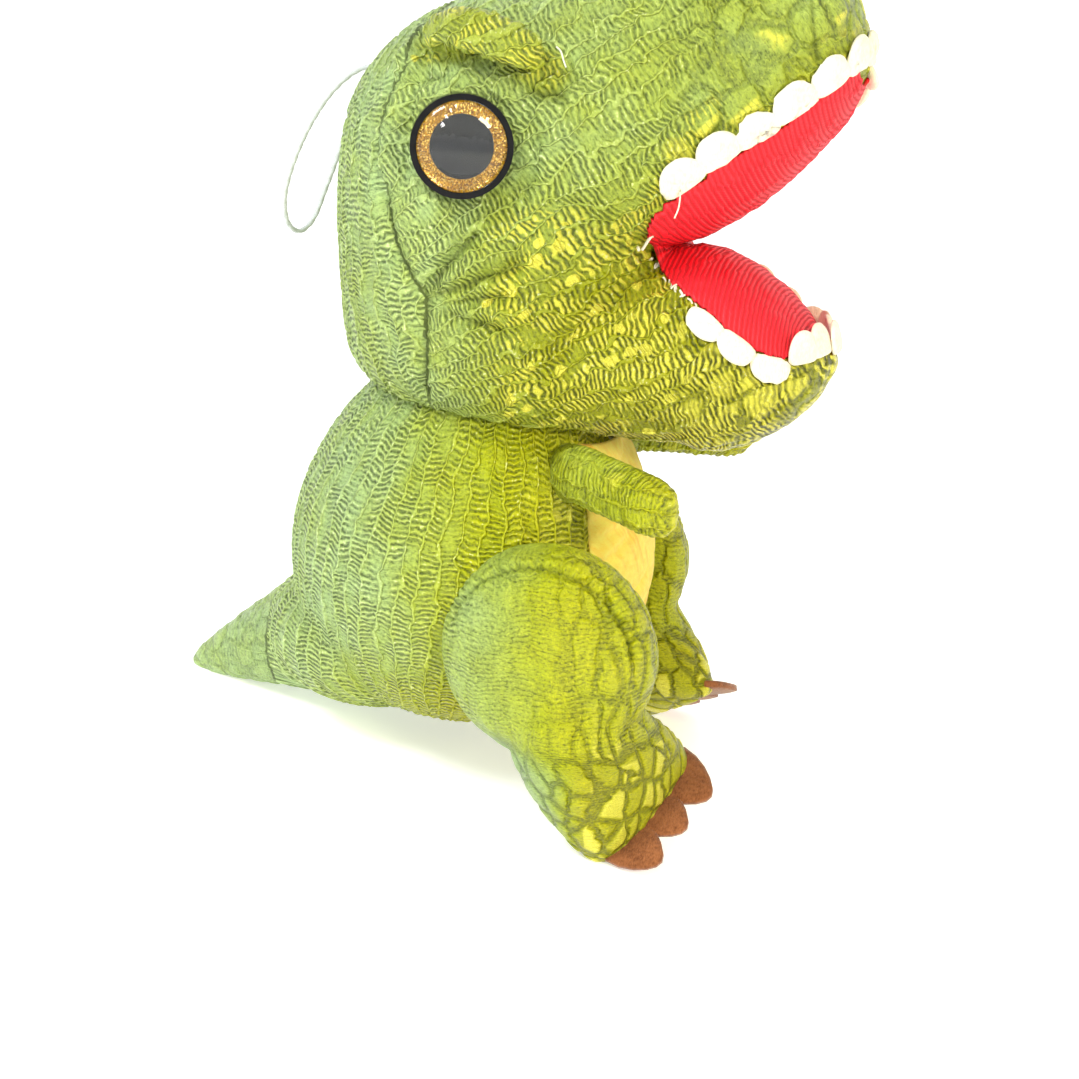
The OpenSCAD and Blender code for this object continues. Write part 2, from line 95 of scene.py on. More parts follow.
def unit(v: np.ndarray) -> np.ndarray:
    """Vectors of length one along v, over the last axis."""
    v = np.asarray(v, float)
    return v / np.maximum(np.linalg.norm(v, axis=-1, keepdims=True), 1e-9)


def ease(x: np.ndarray, low: float, high: float) -> np.ndarray:
    """Smooth step of x from 0 at low to 1 at high; low may be the larger of the two."""
    t = np.clip((np.asarray(x, float) - low) / (high - low), 0, 1)
    return t * t * (3 - 2 * t)


def power(v: np.ndarray, e: float) -> np.ndarray:
    """Signed power, for superellipses."""
    return np.sign(v) * np.abs(v) ** e


def round_angles(count: int) -> np.ndarray:
    """Angles of the points of a ring."""
    return np.linspace(0, 2 * math.pi, count, endpoint=False)


def run_along(line: np.ndarray) -> np.ndarray:
    """Length of a line from its start to each of its points."""
    return np.concatenate([[0], np.cumsum(np.linalg.norm(np.diff(line, axis=0), axis=1))])


def spline(points: list, steps: int) -> np.ndarray:
    """Smooth curve through a route.

    Args:
        points: Rows of numbers that the curve passes through.
        steps: Number of samples between two rows.

    Returns:
        One row for each sample, with the last row at the end.
    """
    p = np.asarray(points, float)
    rows = []
    for k in range(len(p) - 1):
        p0, p1, p2, p3 = p[max(k - 1, 0)], p[k], p[k + 1], p[min(k + 2, len(p) - 1)]
        for j in range(steps):
            u = j / steps
            rows.append(0.5 * (2 * p1 + (p2 - p0) * u + (2 * p0 - 5 * p1 + 4 * p2 - p3) * u * u
                               + (3 * p1 - p0 - 3 * p2 + p3) * u ** 3))
    rows.append(p[-1])
    return np.array(rows)


# ---- mesh code ----


@dataclass
class Shape:
    """A closed shell, as upright points in millimetres and the faces between them."""

    points: np.ndarray
    faces: list

    def mirrored(self) -> "Shape":
        """The same shell on the other side of the toy, still facing outwards."""
        return Shape(self.points * (-1, 1, 1), [f[::-1] for f in self.faces])


def loft(rings: np.ndarray, closed: bool = True) -> Shape:
    """Skins a row of rings.

    Args:
        rings: Points as (ring, point, axis), each ring a closed loop.
        closed: Whether both ends get a fan.

    Returns:
        The shell.
    """
    count, n = rings.shape[:2]
    faces = []
    for r in range(count - 1):
        for i in range(n):
            a, b = r * n + i, r * n + (i + 1) % n
            faces.append((a, b, b + n, a + n))
    points = rings.reshape(-1, 3)
    if closed:
        points = np.vstack([points, rings[0].mean(0), rings[-1].mean(0)])
        for i in range(n):
            j = (i + 1) % n
            faces.append((j, i, count * n))
            faces.append(((count - 1) * n + i, (count - 1) * n + j, count * n + 1))
    return Shape(points, faces)


def grid_faces(rows: int, cols: int) -> list:
    """Quads between the points of a grid."""
    return [(r * cols + i, r * cols + i + 1, (r + 1) * cols + i + 1, (r + 1) * cols + i)
            for r in range(rows - 1) for i in range(cols - 1)]


def new_mesh_object(name: str, points: np.ndarray, faces: list) -> bpy.types.Object:
    """Makes a mesh object of standing points in metres and links it to the scene.

    Args:
        name: Name of the object.
        points: Standing points in metres.
        faces: Corner numbers of each face.

    Returns:
        The object.
    """
    mesh = bpy.data.meshes.new(name)
    mesh.from_pydata([tuple(p) for p in points], [], faces)
    obj = bpy.data.objects.new(name, mesh)
    bpy.context.scene.collection.objects.link(obj)
    mesh.shade_smooth()
    return obj


def joined(name: str, shapes: list) -> bpy.types.Object:
    """Puts shells into one object.

    Args:
        name: Name of the object.
        shapes: The shells, in the upright frame.

    Returns:
        The object, standing.
    """
    points, faces, base = [], [], 0
    for s in shapes:
        points.append(s.points)
        faces += [tuple(i + base for i in f) for f in s.faces]
        base += len(s.points)
    return new_mesh_object(name, stand(np.vstack(points)), faces)


def freeze(obj: bpy.types.Object) -> None:
    """Turns what the modifiers make into the object's own plain mesh, and removes them.

    Args:
        obj: The mesh object.
    """
    graph = bpy.context.evaluated_depsgraph_get()
    mesh = bpy.data.meshes.new_from_object(obj.evaluated_get(graph))
    old = obj.data
    obj.modifiers.clear()
    obj.data = mesh
    mesh.name = obj.name
    bpy.data.meshes.remove(old)
    mesh.shade_smooth()


def thicken(obj: bpy.types.Object, thick: float, offset: float) -> None:
    """Gives a sheet its thickness.

    Args:
        obj: The sheet.
        thick: Its thickness in millimetres.
        offset: -1 for a wall behind the sheet, 0 for one on both sides of it.
    """
    solid = obj.modifiers.new("Thickness", "SOLIDIFY")
    solid.thickness = thick * MM
    solid.offset = offset
    freeze(obj)


def outward(obj: bpy.types.Object) -> None:
    """Recalculates the normals of a closed mesh to face outwards.

    Args:
        obj: An object with a closed mesh.
    """
    bm = bmesh.new()
    bm.from_mesh(obj.data)
    bmesh.ops.recalc_face_normals(bm, faces=bm.faces[:])
    bm.to_mesh(obj.data)
    bm.free()


def read_points(obj: bpy.types.Object) -> np.ndarray:
    """The vertices of an object, as upright points in millimetres.

    Args:
        obj: The mesh object.

    Returns:
        One row for each vertex.
    """
    flat = np.empty(len(obj.data.vertices) * 3)
    obj.data.vertices.foreach_get("co", flat)
    return upright(flat.reshape(-1, 3))


def write_points(obj: bpy.types.Object, points: np.ndarray) -> None:
    """Moves the vertices of an object to upright points in millimetres."""
    obj.data.vertices.foreach_set("co", stand(points).ravel())
    obj.data.update()


def read_normals(obj: bpy.types.Object) -> np.ndarray:
    """Vertex normals of an object, turned to the upright frame.

    Args:
        obj: The mesh object.

    Returns:
        One unit vector for each vertex.
    """
    flat = np.empty(len(obj.data.vertices) * 3)
    obj.data.vertex_normals.foreach_get("vector", flat)
    n = flat.reshape(-1, 3)
    y = n[:, 1] * math.cos(LEAN) - n[:, 2] * math.sin(LEAN)
    z = n[:, 1] * math.sin(LEAN) + n[:, 2] * math.cos(LEAN)
    return np.stack([n[:, 0], y, z], 1)


def relax(obj: bpy.types.Object, rounds: int, keep: np.ndarray = None) -> None:
    """Smooths a mesh by moving each vertex towards the middle of its neighbours.

    Args:
        obj: The mesh object.
        rounds: Number of passes.
        keep: Share of the move that each vertex makes, or None for all of it.
    """
    edges = np.empty(len(obj.data.edges) * 2, int)
    obj.data.edges.foreach_get("vertices", edges)
    a, b = edges[0::2], edges[1::2]
    p = read_points(obj)
    degree = np.bincount(edges, minlength=len(p))[:, None]
    share = 0.6 if keep is None else 0.6 * keep[:, None]
    for _ in range(rounds):
        total = np.stack([np.bincount(a, p[b, k], len(p)) + np.bincount(b, p[a, k], len(p))
                          for k in range(3)], 1)
        p = p + share * (total / degree - p)
    write_points(obj, p)


def weld(name: str, shapes: list, voxel: float, rounds: int) -> bpy.types.Object:
    """Melts overlapping shells into one even skin.

    Args:
        name: Name of the object.
        shapes: Closed shells that overlap.
        voxel: Size of the mesh's cells in millimetres.
        rounds: Smoothing passes over the creases where shells meet.

    Returns:
        The object, one closed quad mesh.
    """
    obj = joined(name, shapes)
    outward(obj)
    remesh = obj.modifiers.new("Even", "REMESH")
    remesh.mode = "VOXEL"
    remesh.voxel_size = voxel * MM
    remesh.use_smooth_shade = True
    freeze(obj)
    relax(obj, rounds)
    return obj


def set_vectors(obj: bpy.types.Object, name: str, values: np.ndarray) -> None:
    """Stores one vector for each vertex under a name that materials can read."""
    attribute = obj.data.attributes.new(name, "FLOAT_VECTOR", "POINT")
    attribute.data.foreach_set("vector", np.asarray(values, np.float32).ravel())


def tree_of(obj: bpy.types.Object) -> BVHTree:
    """Search tree of a mesh object's surface, in its own metres."""
    mesh = obj.data
    return BVHTree.FromPolygons([v.co[:] for v in mesh.vertices],
                                [p.vertices[:] for p in mesh.polygons])


def snapped(tree: BVHTree, points: np.ndarray, lift: np.ndarray) -> np.ndarray:
    """Lays upright points on a surface.

    Args:
        tree: Search tree of the surface.
        points: Upright points in millimetres.
        lift: Height of each point over the surface in millimetres.

    Returns:
        The upright points, moved to the surface and lifted along its normal.
    """
    lift = np.broadcast_to(lift, (len(points),))
    out = []
    for p, high in zip(stand(points), lift):
        near, normal, _, _ = tree.find_nearest(Vector(p))
        out.append(near + normal * float(high) * MM)
    return upright(np.array([v[:] for v in out]))


def laid_on(tree: BVHTree, route: tuple, steps: int) -> tuple:
    """A smooth route, laid on a surface."""
    return tuple(map(tuple, snapped(tree, spline(route, steps), 0.0)))


def settle(points: np.ndarray) -> None:
    """Flattens what would go below the floor.

    Args:
        points: Upright points in millimetres, changed in place.
    """
    standing = stand(points)
    standing[:, 2] = np.maximum(standing[:, 2], FLOOR_GAP * MM)
    points[:] = upright(standing)


def along_route(points: np.ndarray, route: np.ndarray) -> tuple:
    """Measures points against a line.

    Args:
        points: Upright points in millimetres.
        route: The line's own points, close together.

    Returns:
        Distance of each point to the line, and how far along the line its foot is.
    """
    best = np.full(len(points), 1e9)
    place = np.zeros(len(points))
    start = 0.0
    for a, b in zip(route[:-1], route[1:]):
        d = b - a
        size = float(np.linalg.norm(d))
        t = np.clip((points - a) @ d / max(size * size, 1e-9), 0, 1)
        away = np.linalg.norm(points - (a + t[:, None] * d), axis=1)
        closer = away < best
        best[closer] = away[closer]
        place[closer] = start + t[closer] * size
        start += size
    return best, place


# ---- node expressions ----


class Field:
    """A value on one socket; arithmetic on it adds Math nodes to its tree."""

    def __init__(self, net: "Net", socket: bpy.types.NodeSocket) -> None:
        """Wraps a socket of net."""
        self.net = net
        self.socket = socket

    def __add__(self, other: "Field | float") -> "Field":
        """Sum."""
        return self.net.math("ADD", self, other)

    __radd__ = __add__

    def __sub__(self, other: "Field | float") -> "Field":
        """Difference."""
        return self.net.math("SUBTRACT", self, other)

    def __rsub__(self, other: float) -> "Field":
        """Difference from a number."""
        return self.net.math("SUBTRACT", other, self)

    def __mul__(self, other: "Field | float") -> "Field":
        """Product."""
        return self.net.math("MULTIPLY", self, other)

    __rmul__ = __mul__

    def __truediv__(self, other: "Field | float") -> "Field":
        """Quotient."""
        return self.net.math("DIVIDE", self, other)

    def __pow__(self, other: "Field | float") -> "Field":
        """Power."""
        return self.net.math("POWER", self, other)


class Net:
    """A node tree of a material or of geometry, and the one method that adds its nodes."""

    def __init__(self, tree: bpy.types.NodeTree) -> None:
        """Takes over a tree and empties it.

        Args:
            tree: The tree of a material, a world or a geometry modifier.
        """
        self.tree = tree
        self.geometry = tree.bl_idname == "GeometryNodeTree"
        tree.nodes.clear()

    def node(self, kind: str, settings: dict = None, inputs: dict = None) -> bpy.types.Node:
        """Adds a node.

        Args:
            kind: The node's type name.
            settings: Its properties, set first; ramp holds (position, colour) stops.
            inputs: A value or link for each socket, by name or index.

        Returns:
            The node.
        """
        made = self.tree.nodes.new(kind)
        for key, value in (settings or {}).items():
            if key == "ramp":
                self._set_ramp(made.color_ramp, value)
            else:
                setattr(made, key, value)
        for key, value in (inputs or {}).items():
            self.feed(made.inputs[key], value)
        return made

    @staticmethod
    def _set_ramp(ramp: bpy.types.ColorRamp, stops: list) -> None:
        """Gives a ramp its stops.

        Args:
            ramp: The ramp.
            stops: (position, colour) pairs.
        """
        while len(ramp.elements) < len(stops):
            ramp.elements.new(0.5)
        for element, (position, colour) in zip(ramp.elements, stops):
            element.position = position
            element.color = (*colour, 1)

    def feed(self, socket: bpy.types.NodeSocket, value: object) -> None:
        """Links a field or an output to a socket, or sets the socket's own value.

        Args:
            socket: The input socket.
            value: A field, an output socket, a number or a colour.
        """
        if isinstance(value, Field):
            self.tree.links.new(value.socket, socket)
        elif isinstance(value, bpy.types.NodeSocket):
            self.tree.links.new(value, socket)
        elif socket.type == "RGBA" and len(value) == 3:
            socket.default_value = (*value, 1)
        else:
            socket.default_value = value

    def out(self, node: bpy.types.Node, name: "str | int" = 0) -> Field:
        """One output of a node as a field."""
        return Field(self, node.outputs[name])

    def math(self, operation: str, *values: "Field | float") -> Field:
        """Adds a Math node on one to three values."""
        return self.out(self.node("ShaderNodeMath", {"operation": operation}, dict(enumerate(values))))

    def vector(self, operation: str, *values: object) -> Field:
        """Adds a Vector Math node."""
        return self.out(self.node("ShaderNodeVectorMath", {"operation": operation},
                                  dict(enumerate(values))))

    def combine(self, x: object, y: object, z: object) -> Field:
        """A vector of three numbers."""
        return self.out(self.node("ShaderNodeCombineXYZ", None, {0: x, 1: y, 2: z}))

    def split(self, vector: Field) -> tuple:
        """The three numbers of a vector."""
        made = self.node("ShaderNodeSeparateXYZ", None, {0: vector})
        return self.out(made, 0), self.out(made, 1), self.out(made, 2)

    def smooth(self, value: Field, low: float, high: float) -> Field:
        """Smooth step from 0 at low to 1 at high; low may be the larger.

        Args:
            value: The value.
            low: Where the step starts.
            high: Where it ends.

        Returns:
            The step as a field.
        """
        flip = low > high
        made = self.out(self.node(
            "ShaderNodeMapRange", {"interpolation_type": "SMOOTHSTEP"},
            {"Value": value, "From Min": min(low, high), "From Max": max(low, high)}))
        return 1 - made if flip else made

    def mix(self, factor: object, a: object, b: object) -> Field:
        """Mixes two colours."""
        return self.out(self.node("ShaderNodeMix", {"data_type": "RGBA"}, {0: factor, 6: a, 7: b}), 2)

    def scaled(self, vector: Field, size: object) -> Field:
        """A vector times a number."""
        made = self.node("ShaderNodeVectorMath", {"operation": "SCALE"}, {0: vector, "Scale": size})
        return self.out(made)

    def place(self) -> Field:
        """Object coordinates."""
        return self.out(self.node("ShaderNodeTexCoord"), "Object")

    def bump(self, shader: bpy.types.Node, height: Field, tall: float, strength: float = 1.0) -> None:
        """Gives a shader its bump.

        Args:
            shader: The shader node.
            height: Height of the surface.
            tall: What a height of one stands for, in millimetres.
            strength: Strength of the bump.
        """
        made = self.node("ShaderNodeBump", None, {
            "Strength": strength, "Distance": tall * MM, "Height": height})
        self.feed(shader.inputs["Normal"], self.out(made))

    def attribute(self, name: str) -> Field:
        """The vector that each vertex of the piece holds under a name.

        Args:
            name: Name of the attribute.

        Returns:
            The vector as a field.
        """
        if self.geometry:
            made = self.node("GeometryNodeInputNamedAttribute", {"data_type": "FLOAT_VECTOR"},
                             {"Name": name})
            return self.out(made, 0)
        return self.out(self.node("ShaderNodeAttribute", {"attribute_name": name}), "Vector")

    def noise(self, where: Field, scale: float, detail: float = 2, rough: float = 0.5) -> Field:
        """Noise from 0 to 1 over a vector."""
        return self.out(self.node("ShaderNodeTexNoise", None, {
            "Vector": where, "Scale": scale, "Detail": detail, "Roughness": rough}))

    def cells(self, where: Field, feature: str, jitter: float, scale: float = 1.0) -> bpy.types.Node:
        """A Voronoi node over a vector."""
        return self.node("ShaderNodeTexVoronoi", {"feature": feature}, {
            "Vector": where, "Scale": scale, "Randomness": jitter})


def new_material(name: str) -> tuple:
    """Makes a material with one Principled shader.

    Args:
        name: Name of the material.

    Returns:
        The material, its net and the shader node.
    """
    material = bpy.data.materials.new(name)
    material.use_nodes = True
    net = Net(material.node_tree)
    shader = net.node("ShaderNodeBsdfPrincipled")
    out = net.node("ShaderNodeOutputMaterial")
    net.tree.links.new(shader.outputs[0], out.inputs["Surface"])
    return material, net, shader


# ---- finishes ----


@dataclass(frozen=True)
class Relief:
    """Fields of the crinkled fabric in one node tree, from 0 to 1 where nothing else is said.

    flow is the place in millimetres; foil, tone, scaly and sewn are the piece's own attributes; the tone is
    partly painted light, and sewn paints shade along the seams. rib is a raised rib; wave, crest and hollow
    are the wrinkles between two ribs. crack and inner are the rim and the middle of a scale, pick is its
    random number, and spots are round foil spots. coarse and fine are heights in millimetres.
    """

    flow: Field
    foil: Field
    tone: Field
    scaly: Field
    sewn: Field
    rib: Field
    wave: Field
    crest: Field
    hollow: Field
    crack: Field
    inner: Field
    pick: Field
    spots: Field
    coarse: Field
    fine: Field


@dataclass(frozen=True)
class Crinkle:
    """Crinkled stretch fabric: wavy ribs with short wrinkles between them, scales and foil patches.

    The piece's flow attribute holds millimetres along the ribs, across them and in depth. Its zone
    attribute holds the strength of the wrinkles, the share of foil and the tone from mint to lime, which is
    partly painted light: paler mint at the back and top, deeper lime at the front and below. Its sewn
    attribute holds the nearness of a seam, the strength of the ribs and that of the scales; the nearness of
    a seam paints shade along it.
    """

    name: str
    # Ribs: distance apart, slow and quick sideways swing, share of them that shows; millimetres
    gap: float = 4.6
    wander: float = 2.4
    shake: float = 0.9
    rib_share: float = 1.0
    # Wrinkles: distance apart and height, in millimetres
    pitch: float = 1.35
    wrinkle_high: float = 0.3
    # Scales: size in millimetres, unevenness, darkness of the cracks between them
    scale_len: float = 8.0
    scale_wide: float = 5.5
    jitter: float = 0.8
    crack_dark: float = 0.85
    # Colours: ground from mint to lime, partly painted light; painted shade, highlights and glints; foil
    tones_and_light: tuple = ((0.0, (0.40, 0.56, 0.21)), (0.3, (0.40, 0.51, 0.075)), (0.65, (0.43, 0.48, 0.004)),
                    (1.0, (0.50, 0.49, 0.001)))
    # Painted shade: share by which the lime end of the ground is darkened
    lime_painted_shade: float = 0.0
    # Painted shade in the hollows and painted highlight on the crests, as multiples of the ground
    hollow_painted_shade: tuple = (0.21, 0.23, 0.2)
    crest_painted_highlight: tuple = (1.65, 1.5, 1.5)
    gold: tuple = (0.88, 0.82, 0.09)
    # Colour of the painted glints
    shine: tuple = (0.93, 1.0, 0.62)
    # Painted shade along the seams
    seam_painted_shade: tuple = (0.06, 0.085, 0.012)

    def relief(self, net: Net) -> Relief:
        """Builds the fabric's fields in a tree of either kind.

        Args:
            net: The tree.

        Returns:
            The fields.
        """
        flow = net.attribute("flow")
        wrinkly, foil, tone = net.split(net.attribute("zone"))
        sewn, ribbed, scaly = net.split(net.attribute("sewn"))
        along, across, depth = net.split(flow)
        drift = net.noise(flow, 0.075, 2) - 0.5
        zigzag = net.noise(flow, 0.36, 1) - 0.5
        # A rib stands where a column of the fabric meets the next
        column = (across + drift * (self.wander * 4) + zigzag * (self.shake * 3)) / self.gap
        place = net.math("FRACT", column) - 0.5
        rib = net.smooth(net.math("ABSOLUTE", place) * self.gap, self.gap / 2 - 0.65,
                         self.gap / 2 - 0.15) * ribbed
        # Wrinkles cross each column like rungs, each column with its own start and slant
        order = net.math("FLOOR", column)
        jump = net.noise(net.combine(order * 3.7, along * 0.03, 0.0), 1.0, 0)
        slant = place * net.math("SINE", order * 2.4 + along * 0.11) * 1.6
        phase = (along + slant + jump * 9 + net.noise(flow, 0.45, 1) * 1.5) * (2 * math.pi / self.pitch)
        wave = net.math("SINE", phase) * 0.5 + 0.5
        patchy = net.smooth(net.noise(flow, 0.14, 2), 0.3, 0.55) * 0.75 + 0.25
        crest = wave * (1 - rib) * wrinkly * patchy
        hollow = (1 - wave) ** 2.4 * (1 - rib) * wrinkly * patchy
        # Scales and spots are cells over the same flow
        shaken = net.combine(along + zigzag * 2, across + drift * 6 + zigzag * 2, depth)
        grid = net.vector("DIVIDE", shaken, (self.scale_len, self.scale_wide, self.scale_wide))
        edge = net.out(net.cells(grid, "DISTANCE_TO_EDGE", self.jitter), "Distance")
        pick = net.split(net.out(net.cells(grid, "F1", self.jitter), "Color"))[0]
        crack = net.smooth(edge, 0.13, 0.02) * scaly
        inner = net.smooth(edge, 0.07, 0.2)
        dots = net.cells(net.vector("DIVIDE", shaken, (4.6, 3.2, 3.2)), "F1", 0.9)
        spots = net.smooth(net.out(dots, "Distance"), 0.42, 0.34) * net.smooth(
            net.split(net.out(dots, "Color"))[1] - foil * 0.45, 0.0, -0.04) * (1 - scaly)
        return Relief(flow, foil, tone, scaly, sewn, rib, wave, crest, hollow, crack, inner, pick, spots,
                      coarse=rib * 0.5 + inner * scaly * 0.4 + spots * 0.25,
                      fine=crest * self.wrinkle_high + rib * 0.25 - crack * 0.35)

    def raised(self, obj: bpy.types.Object) -> None:
        """Lifts the ribs and scales of a piece out of its mesh, by the same fields as the colour.

        Args:
            obj: The skin, with its attributes set.
        """
        tree = bpy.data.node_groups.new(f"{obj.name}_relief", "GeometryNodeTree")
        tree.interface.new_socket("Skin", in_out="INPUT", socket_type="NodeSocketGeometry")
        rise = tree.interface.new_socket("Rise", in_out="INPUT", socket_type="NodeSocketFloat")
        tree.interface.new_socket("Skin", in_out="OUTPUT", socket_type="NodeSocketGeometry")
        net = Net(tree)
        given = net.node("NodeGroupInput")
        normal = net.out(net.node("GeometryNodeInputNormal"))
        lift = net.scaled(normal, self.relief(net).coarse * net.out(given, 1))
        moved = net.node("GeometryNodeSetPosition", None, {"Geometry": given.outputs[0], "Offset": lift})
        done = net.node("NodeGroupOutput")
        tree.links.new(moved.outputs[0], done.inputs[0])
        modifier = obj.modifiers.new("Relief", "NODES")
        modifier.node_group = tree
        modifier[rise.identifier] = MM
        freeze(obj)

    @staticmethod
    def _gilt(net: Net, r: Relief, grain: Field) -> Field:
        """Share of foil: on rungs between ribs, on whole scales and on round spots.

        Args:
            net: The material's tree.
            r: The fabric's fields.
            grain: Fine noise.

        Returns:
            The share as a field.
        """
        patch = net.smooth(net.noise(net.vector("MULTIPLY", r.flow, (0.6, 1.3, 1.0)), 0.16, 2),
                           0.62, 0.48)
        rungs = net.smooth(r.crest, 0.3, 0.55) * patch * net.smooth(r.foil, 0.1, 0.45) * 0.8
        blocks = net.smooth(r.pick - r.foil * 0.75, 0.0, -0.05) * r.inner * r.scaly * (
            net.smooth(r.wave * 0.6 + grain * 0.6, 0.3, 0.55) * 0.6 + 0.4)
        spots = r.spots * (net.smooth(grain, 0.35, 0.5) * 0.6 + 0.4)
        return net.math("MAXIMUM", net.math("MAXIMUM", rungs, blocks), spots)

    def material(self) -> bpy.types.Material:
        """Makes the fabric's material.

        Returns:
            The material.
        """
        material, net, shader = new_material(self.name)
        r = self.relief(net)
        grain = net.noise(r.flow, 4.5, 3, 0.65)
        weave = net.noise(net.vector("MULTIPLY", r.flow, (2.4, 0.9, 0.9)), 1.4, 2)
        crumple = net.noise(r.flow, 1.1, 4, 0.7)
        blotch = net.noise(r.flow, 0.1, 3)
        # Ground from the tone ramp: partly the fabric's own colour, partly painted light
        ramp = net.node("ShaderNodeValToRGB", {"ramp": self.tones_and_light}, {0: r.tone + (blotch - 0.5) * 0.45})
        # Painted shade: the lime end of the ground made darker, as on the lower cheeks and the jaw
        ground = net.scaled(net.out(ramp), 1 - r.tone * self.lime_painted_shade)
        # Painted shade: darker in the wrinkle hollows and the low crumples; the cracks between scales are
        # darker too
        low = r.hollow * 0.85 + r.crack * self.crack_dark + net.smooth(
            weave * 0.5 + crumple * 0.5, 0.52, 0.34) * 0.6
        # Painted highlight on the wrinkle crests, the ribs and the high crumples
        up = (net.smooth(r.crest, 0.35, 0.95) * 0.5 + r.rib * 0.25
              + net.smooth(crumple, 0.52, 0.7) * 0.5)
        # Painted glints where high crumples meet crests and ribs
        painted_glint = net.smooth(crumple, 0.56, 0.68) * net.smooth(r.crest + r.rib * 0.7, 0.45, 0.8)
        gilt = self._gilt(net, r, grain)
        # Painted shade and highlight go over the ground first, then foil, painted glints and painted shade
        # along the seams
        colour = ground
        for share, other in ((net.math("MINIMUM", low, 0.95), net.vector("MULTIPLY", ground, self.hollow_painted_shade)),
                             (net.math("MINIMUM", up, 0.9), net.vector("MULTIPLY", ground, self.crest_painted_highlight)),
                             (gilt * 0.9, self.gold), (painted_glint * 0.6, self.shine),
                             (r.sewn * 0.6, self.seam_painted_shade)):
            colour = net.mix(share, colour, other)
        net.feed(shader.inputs["Base Color"], colour)
        net.feed(shader.inputs["Roughness"], 0.36 - gilt * 0.1 - painted_glint * 0.12 + (grain - 0.5) * 0.2)
        net.feed(shader.inputs["Metallic"], gilt * 0.3)
        shader.inputs["Specular IOR Level"].default_value = 0.42
        net.bump(shader, r.coarse * 0.5 + r.fine * 1.6 + grain * 0.14 + weave * 0.14 + crumple * 0.45, 1.7)
        return material


@dataclass(frozen=True)
class RibKnit:
    """Red ribbed lining; the flow attribute's first number runs across the ribs, in millimetres."""

    name: str = "mouth_rib"
    pitch: float = 1.3
    twist: float = 0.85
    # Colours in the grooves, as painted shade, and on the rib tops, as painted highlight
    deep: tuple = (0.50, 0.001, 0.008)
    bright: tuple = (0.98, 0.008, 0.022)

    def material(self) -> bpy.types.Material:
        """Makes the lining's material.

        Returns:
            The material.
        """
        material, net, shader = new_material(self.name)
        flow = net.attribute("flow")
        across, along, _ = net.split(flow)
        rib = net.math("SINE", across * (2 * math.pi / self.pitch)) * 0.5 + 0.5
        twist = net.math("SINE", (along + across * 1.1) * (2 * math.pi / self.twist)) * 0.5 + 0.5
        fuzz = net.noise(flow, 3.5, 3, 0.6)
        height = rib ** 1.4 + twist * rib * 0.25 + fuzz * 0.25
        # Painted shade in the grooves and painted highlight on the rib tops: the colour follows the height
        shade = net.smooth(height, 0.1, 1.0)
        net.feed(shader.inputs["Base Color"], net.mix(shade, self.deep, self.bright))
        net.feed(shader.inputs["Roughness"], 0.75 - shade * 0.2)
        net.bump(shader, height, 0.2)
        return material


@dataclass(frozen=True)
class Felt:
    """Pressed felt with short matted fibres, patterned on Object coordinates."""

    name: str
    deep: tuple
    pale: tuple

    def material(self) -> bpy.types.Material:
        """Makes the felt's material.

        Returns:
            The material.
        """
        material, net, shader = new_material(self.name)
        where = net.place()
        matted = net.noise(where, 900, 4, 0.7)
        cloudy = net.noise(where, 160, 3)
        fibre = net.noise(net.vector("MULTIPLY", where, (1.0, 3.5, 0.6)), 1300, 2)
        light = net.smooth(matted * 0.5 + cloudy * 0.3 + fibre * 0.4, 0.35, 0.8)
        net.feed(shader.inputs["Base Color"], net.mix(light, self.deep, self.pale))
        net.feed(shader.inputs["Roughness"], 0.95 - light * 0.1)
        shader.inputs["Sheen Weight"].default_value = 0.45
        shader.inputs["Sheen Roughness"].default_value = 0.4
        shader.inputs["Specular IOR Level"].default_value = 0.2
        net.bump(shader, matted * 0.6 + fibre * 0.6, 0.35, 0.9)
        return material


@dataclass(frozen=True)
class Plush:
    """Short bright pile of the belly, with faint darker orange streaks that slant across it."""

    name: str = "belly_plush"
    deep: tuple = (0.96, 0.66, 0.07)
    bright: tuple = (1.0, 0.86, 0.15)
    streaked: tuple = (0.90, 0.40, 0.02)

    def material(self) -> bpy.types.Material:
        """Makes the plush's material.

        Returns:
            The material.
        """
        material, net, shader = new_material(self.name)
        flow = net.attribute("flow")
        pile = net.noise(net.vector("MULTIPLY", flow, (1.0, 2.2, 1.0)), 2.6, 3, 0.7)
        clump = net.noise(flow, 0.5, 3)
        across, along, _ = net.split(flow)
        slant = net.combine(across * 0.5 + along * 0.22, along * 0.05, 0.0)
        streak = net.smooth(net.noise(slant, 0.75, 3), 0.5, 0.72)
        ground = net.mix(net.smooth(pile * 0.6 + clump * 0.5, 0.35, 0.75), self.deep, self.bright)
        net.feed(shader.inputs["Base Color"], net.mix(streak * 0.5, ground, self.streaked))
        net.feed(shader.inputs["Roughness"], 0.9 - pile * 0.15)
        shader.inputs["Sheen Weight"].default_value = 0.15
        shader.inputs["Sheen Roughness"].default_value = 0.35
        net.bump(shader, pile * 0.6 + clump, 0.7)
        return material


@dataclass(frozen=True)
class Moulded:
    """Plain moulded plastic with faint flow marks."""

    name: str
    colour: tuple
    rough: float = 0.3
    shine: float = 0.5

    def material(self) -> bpy.types.Material:
        """Makes the plastic's material.

        Returns:
            The material.
        """
        material, net, shader = new_material(self.name)
        where = net.place()
        marks = net.noise(where, 400, 3)
        light = tuple(min(1.0, c * 1.25 + 0.01) for c in self.colour)
        net.feed(shader.inputs["Base Color"], net.mix(marks, self.colour, light))
        net.feed(shader.inputs["Roughness"], self.rough + (marks - 0.5) * 0.12)
        shader.inputs["Specular IOR Level"].default_value = self.shine
        return material


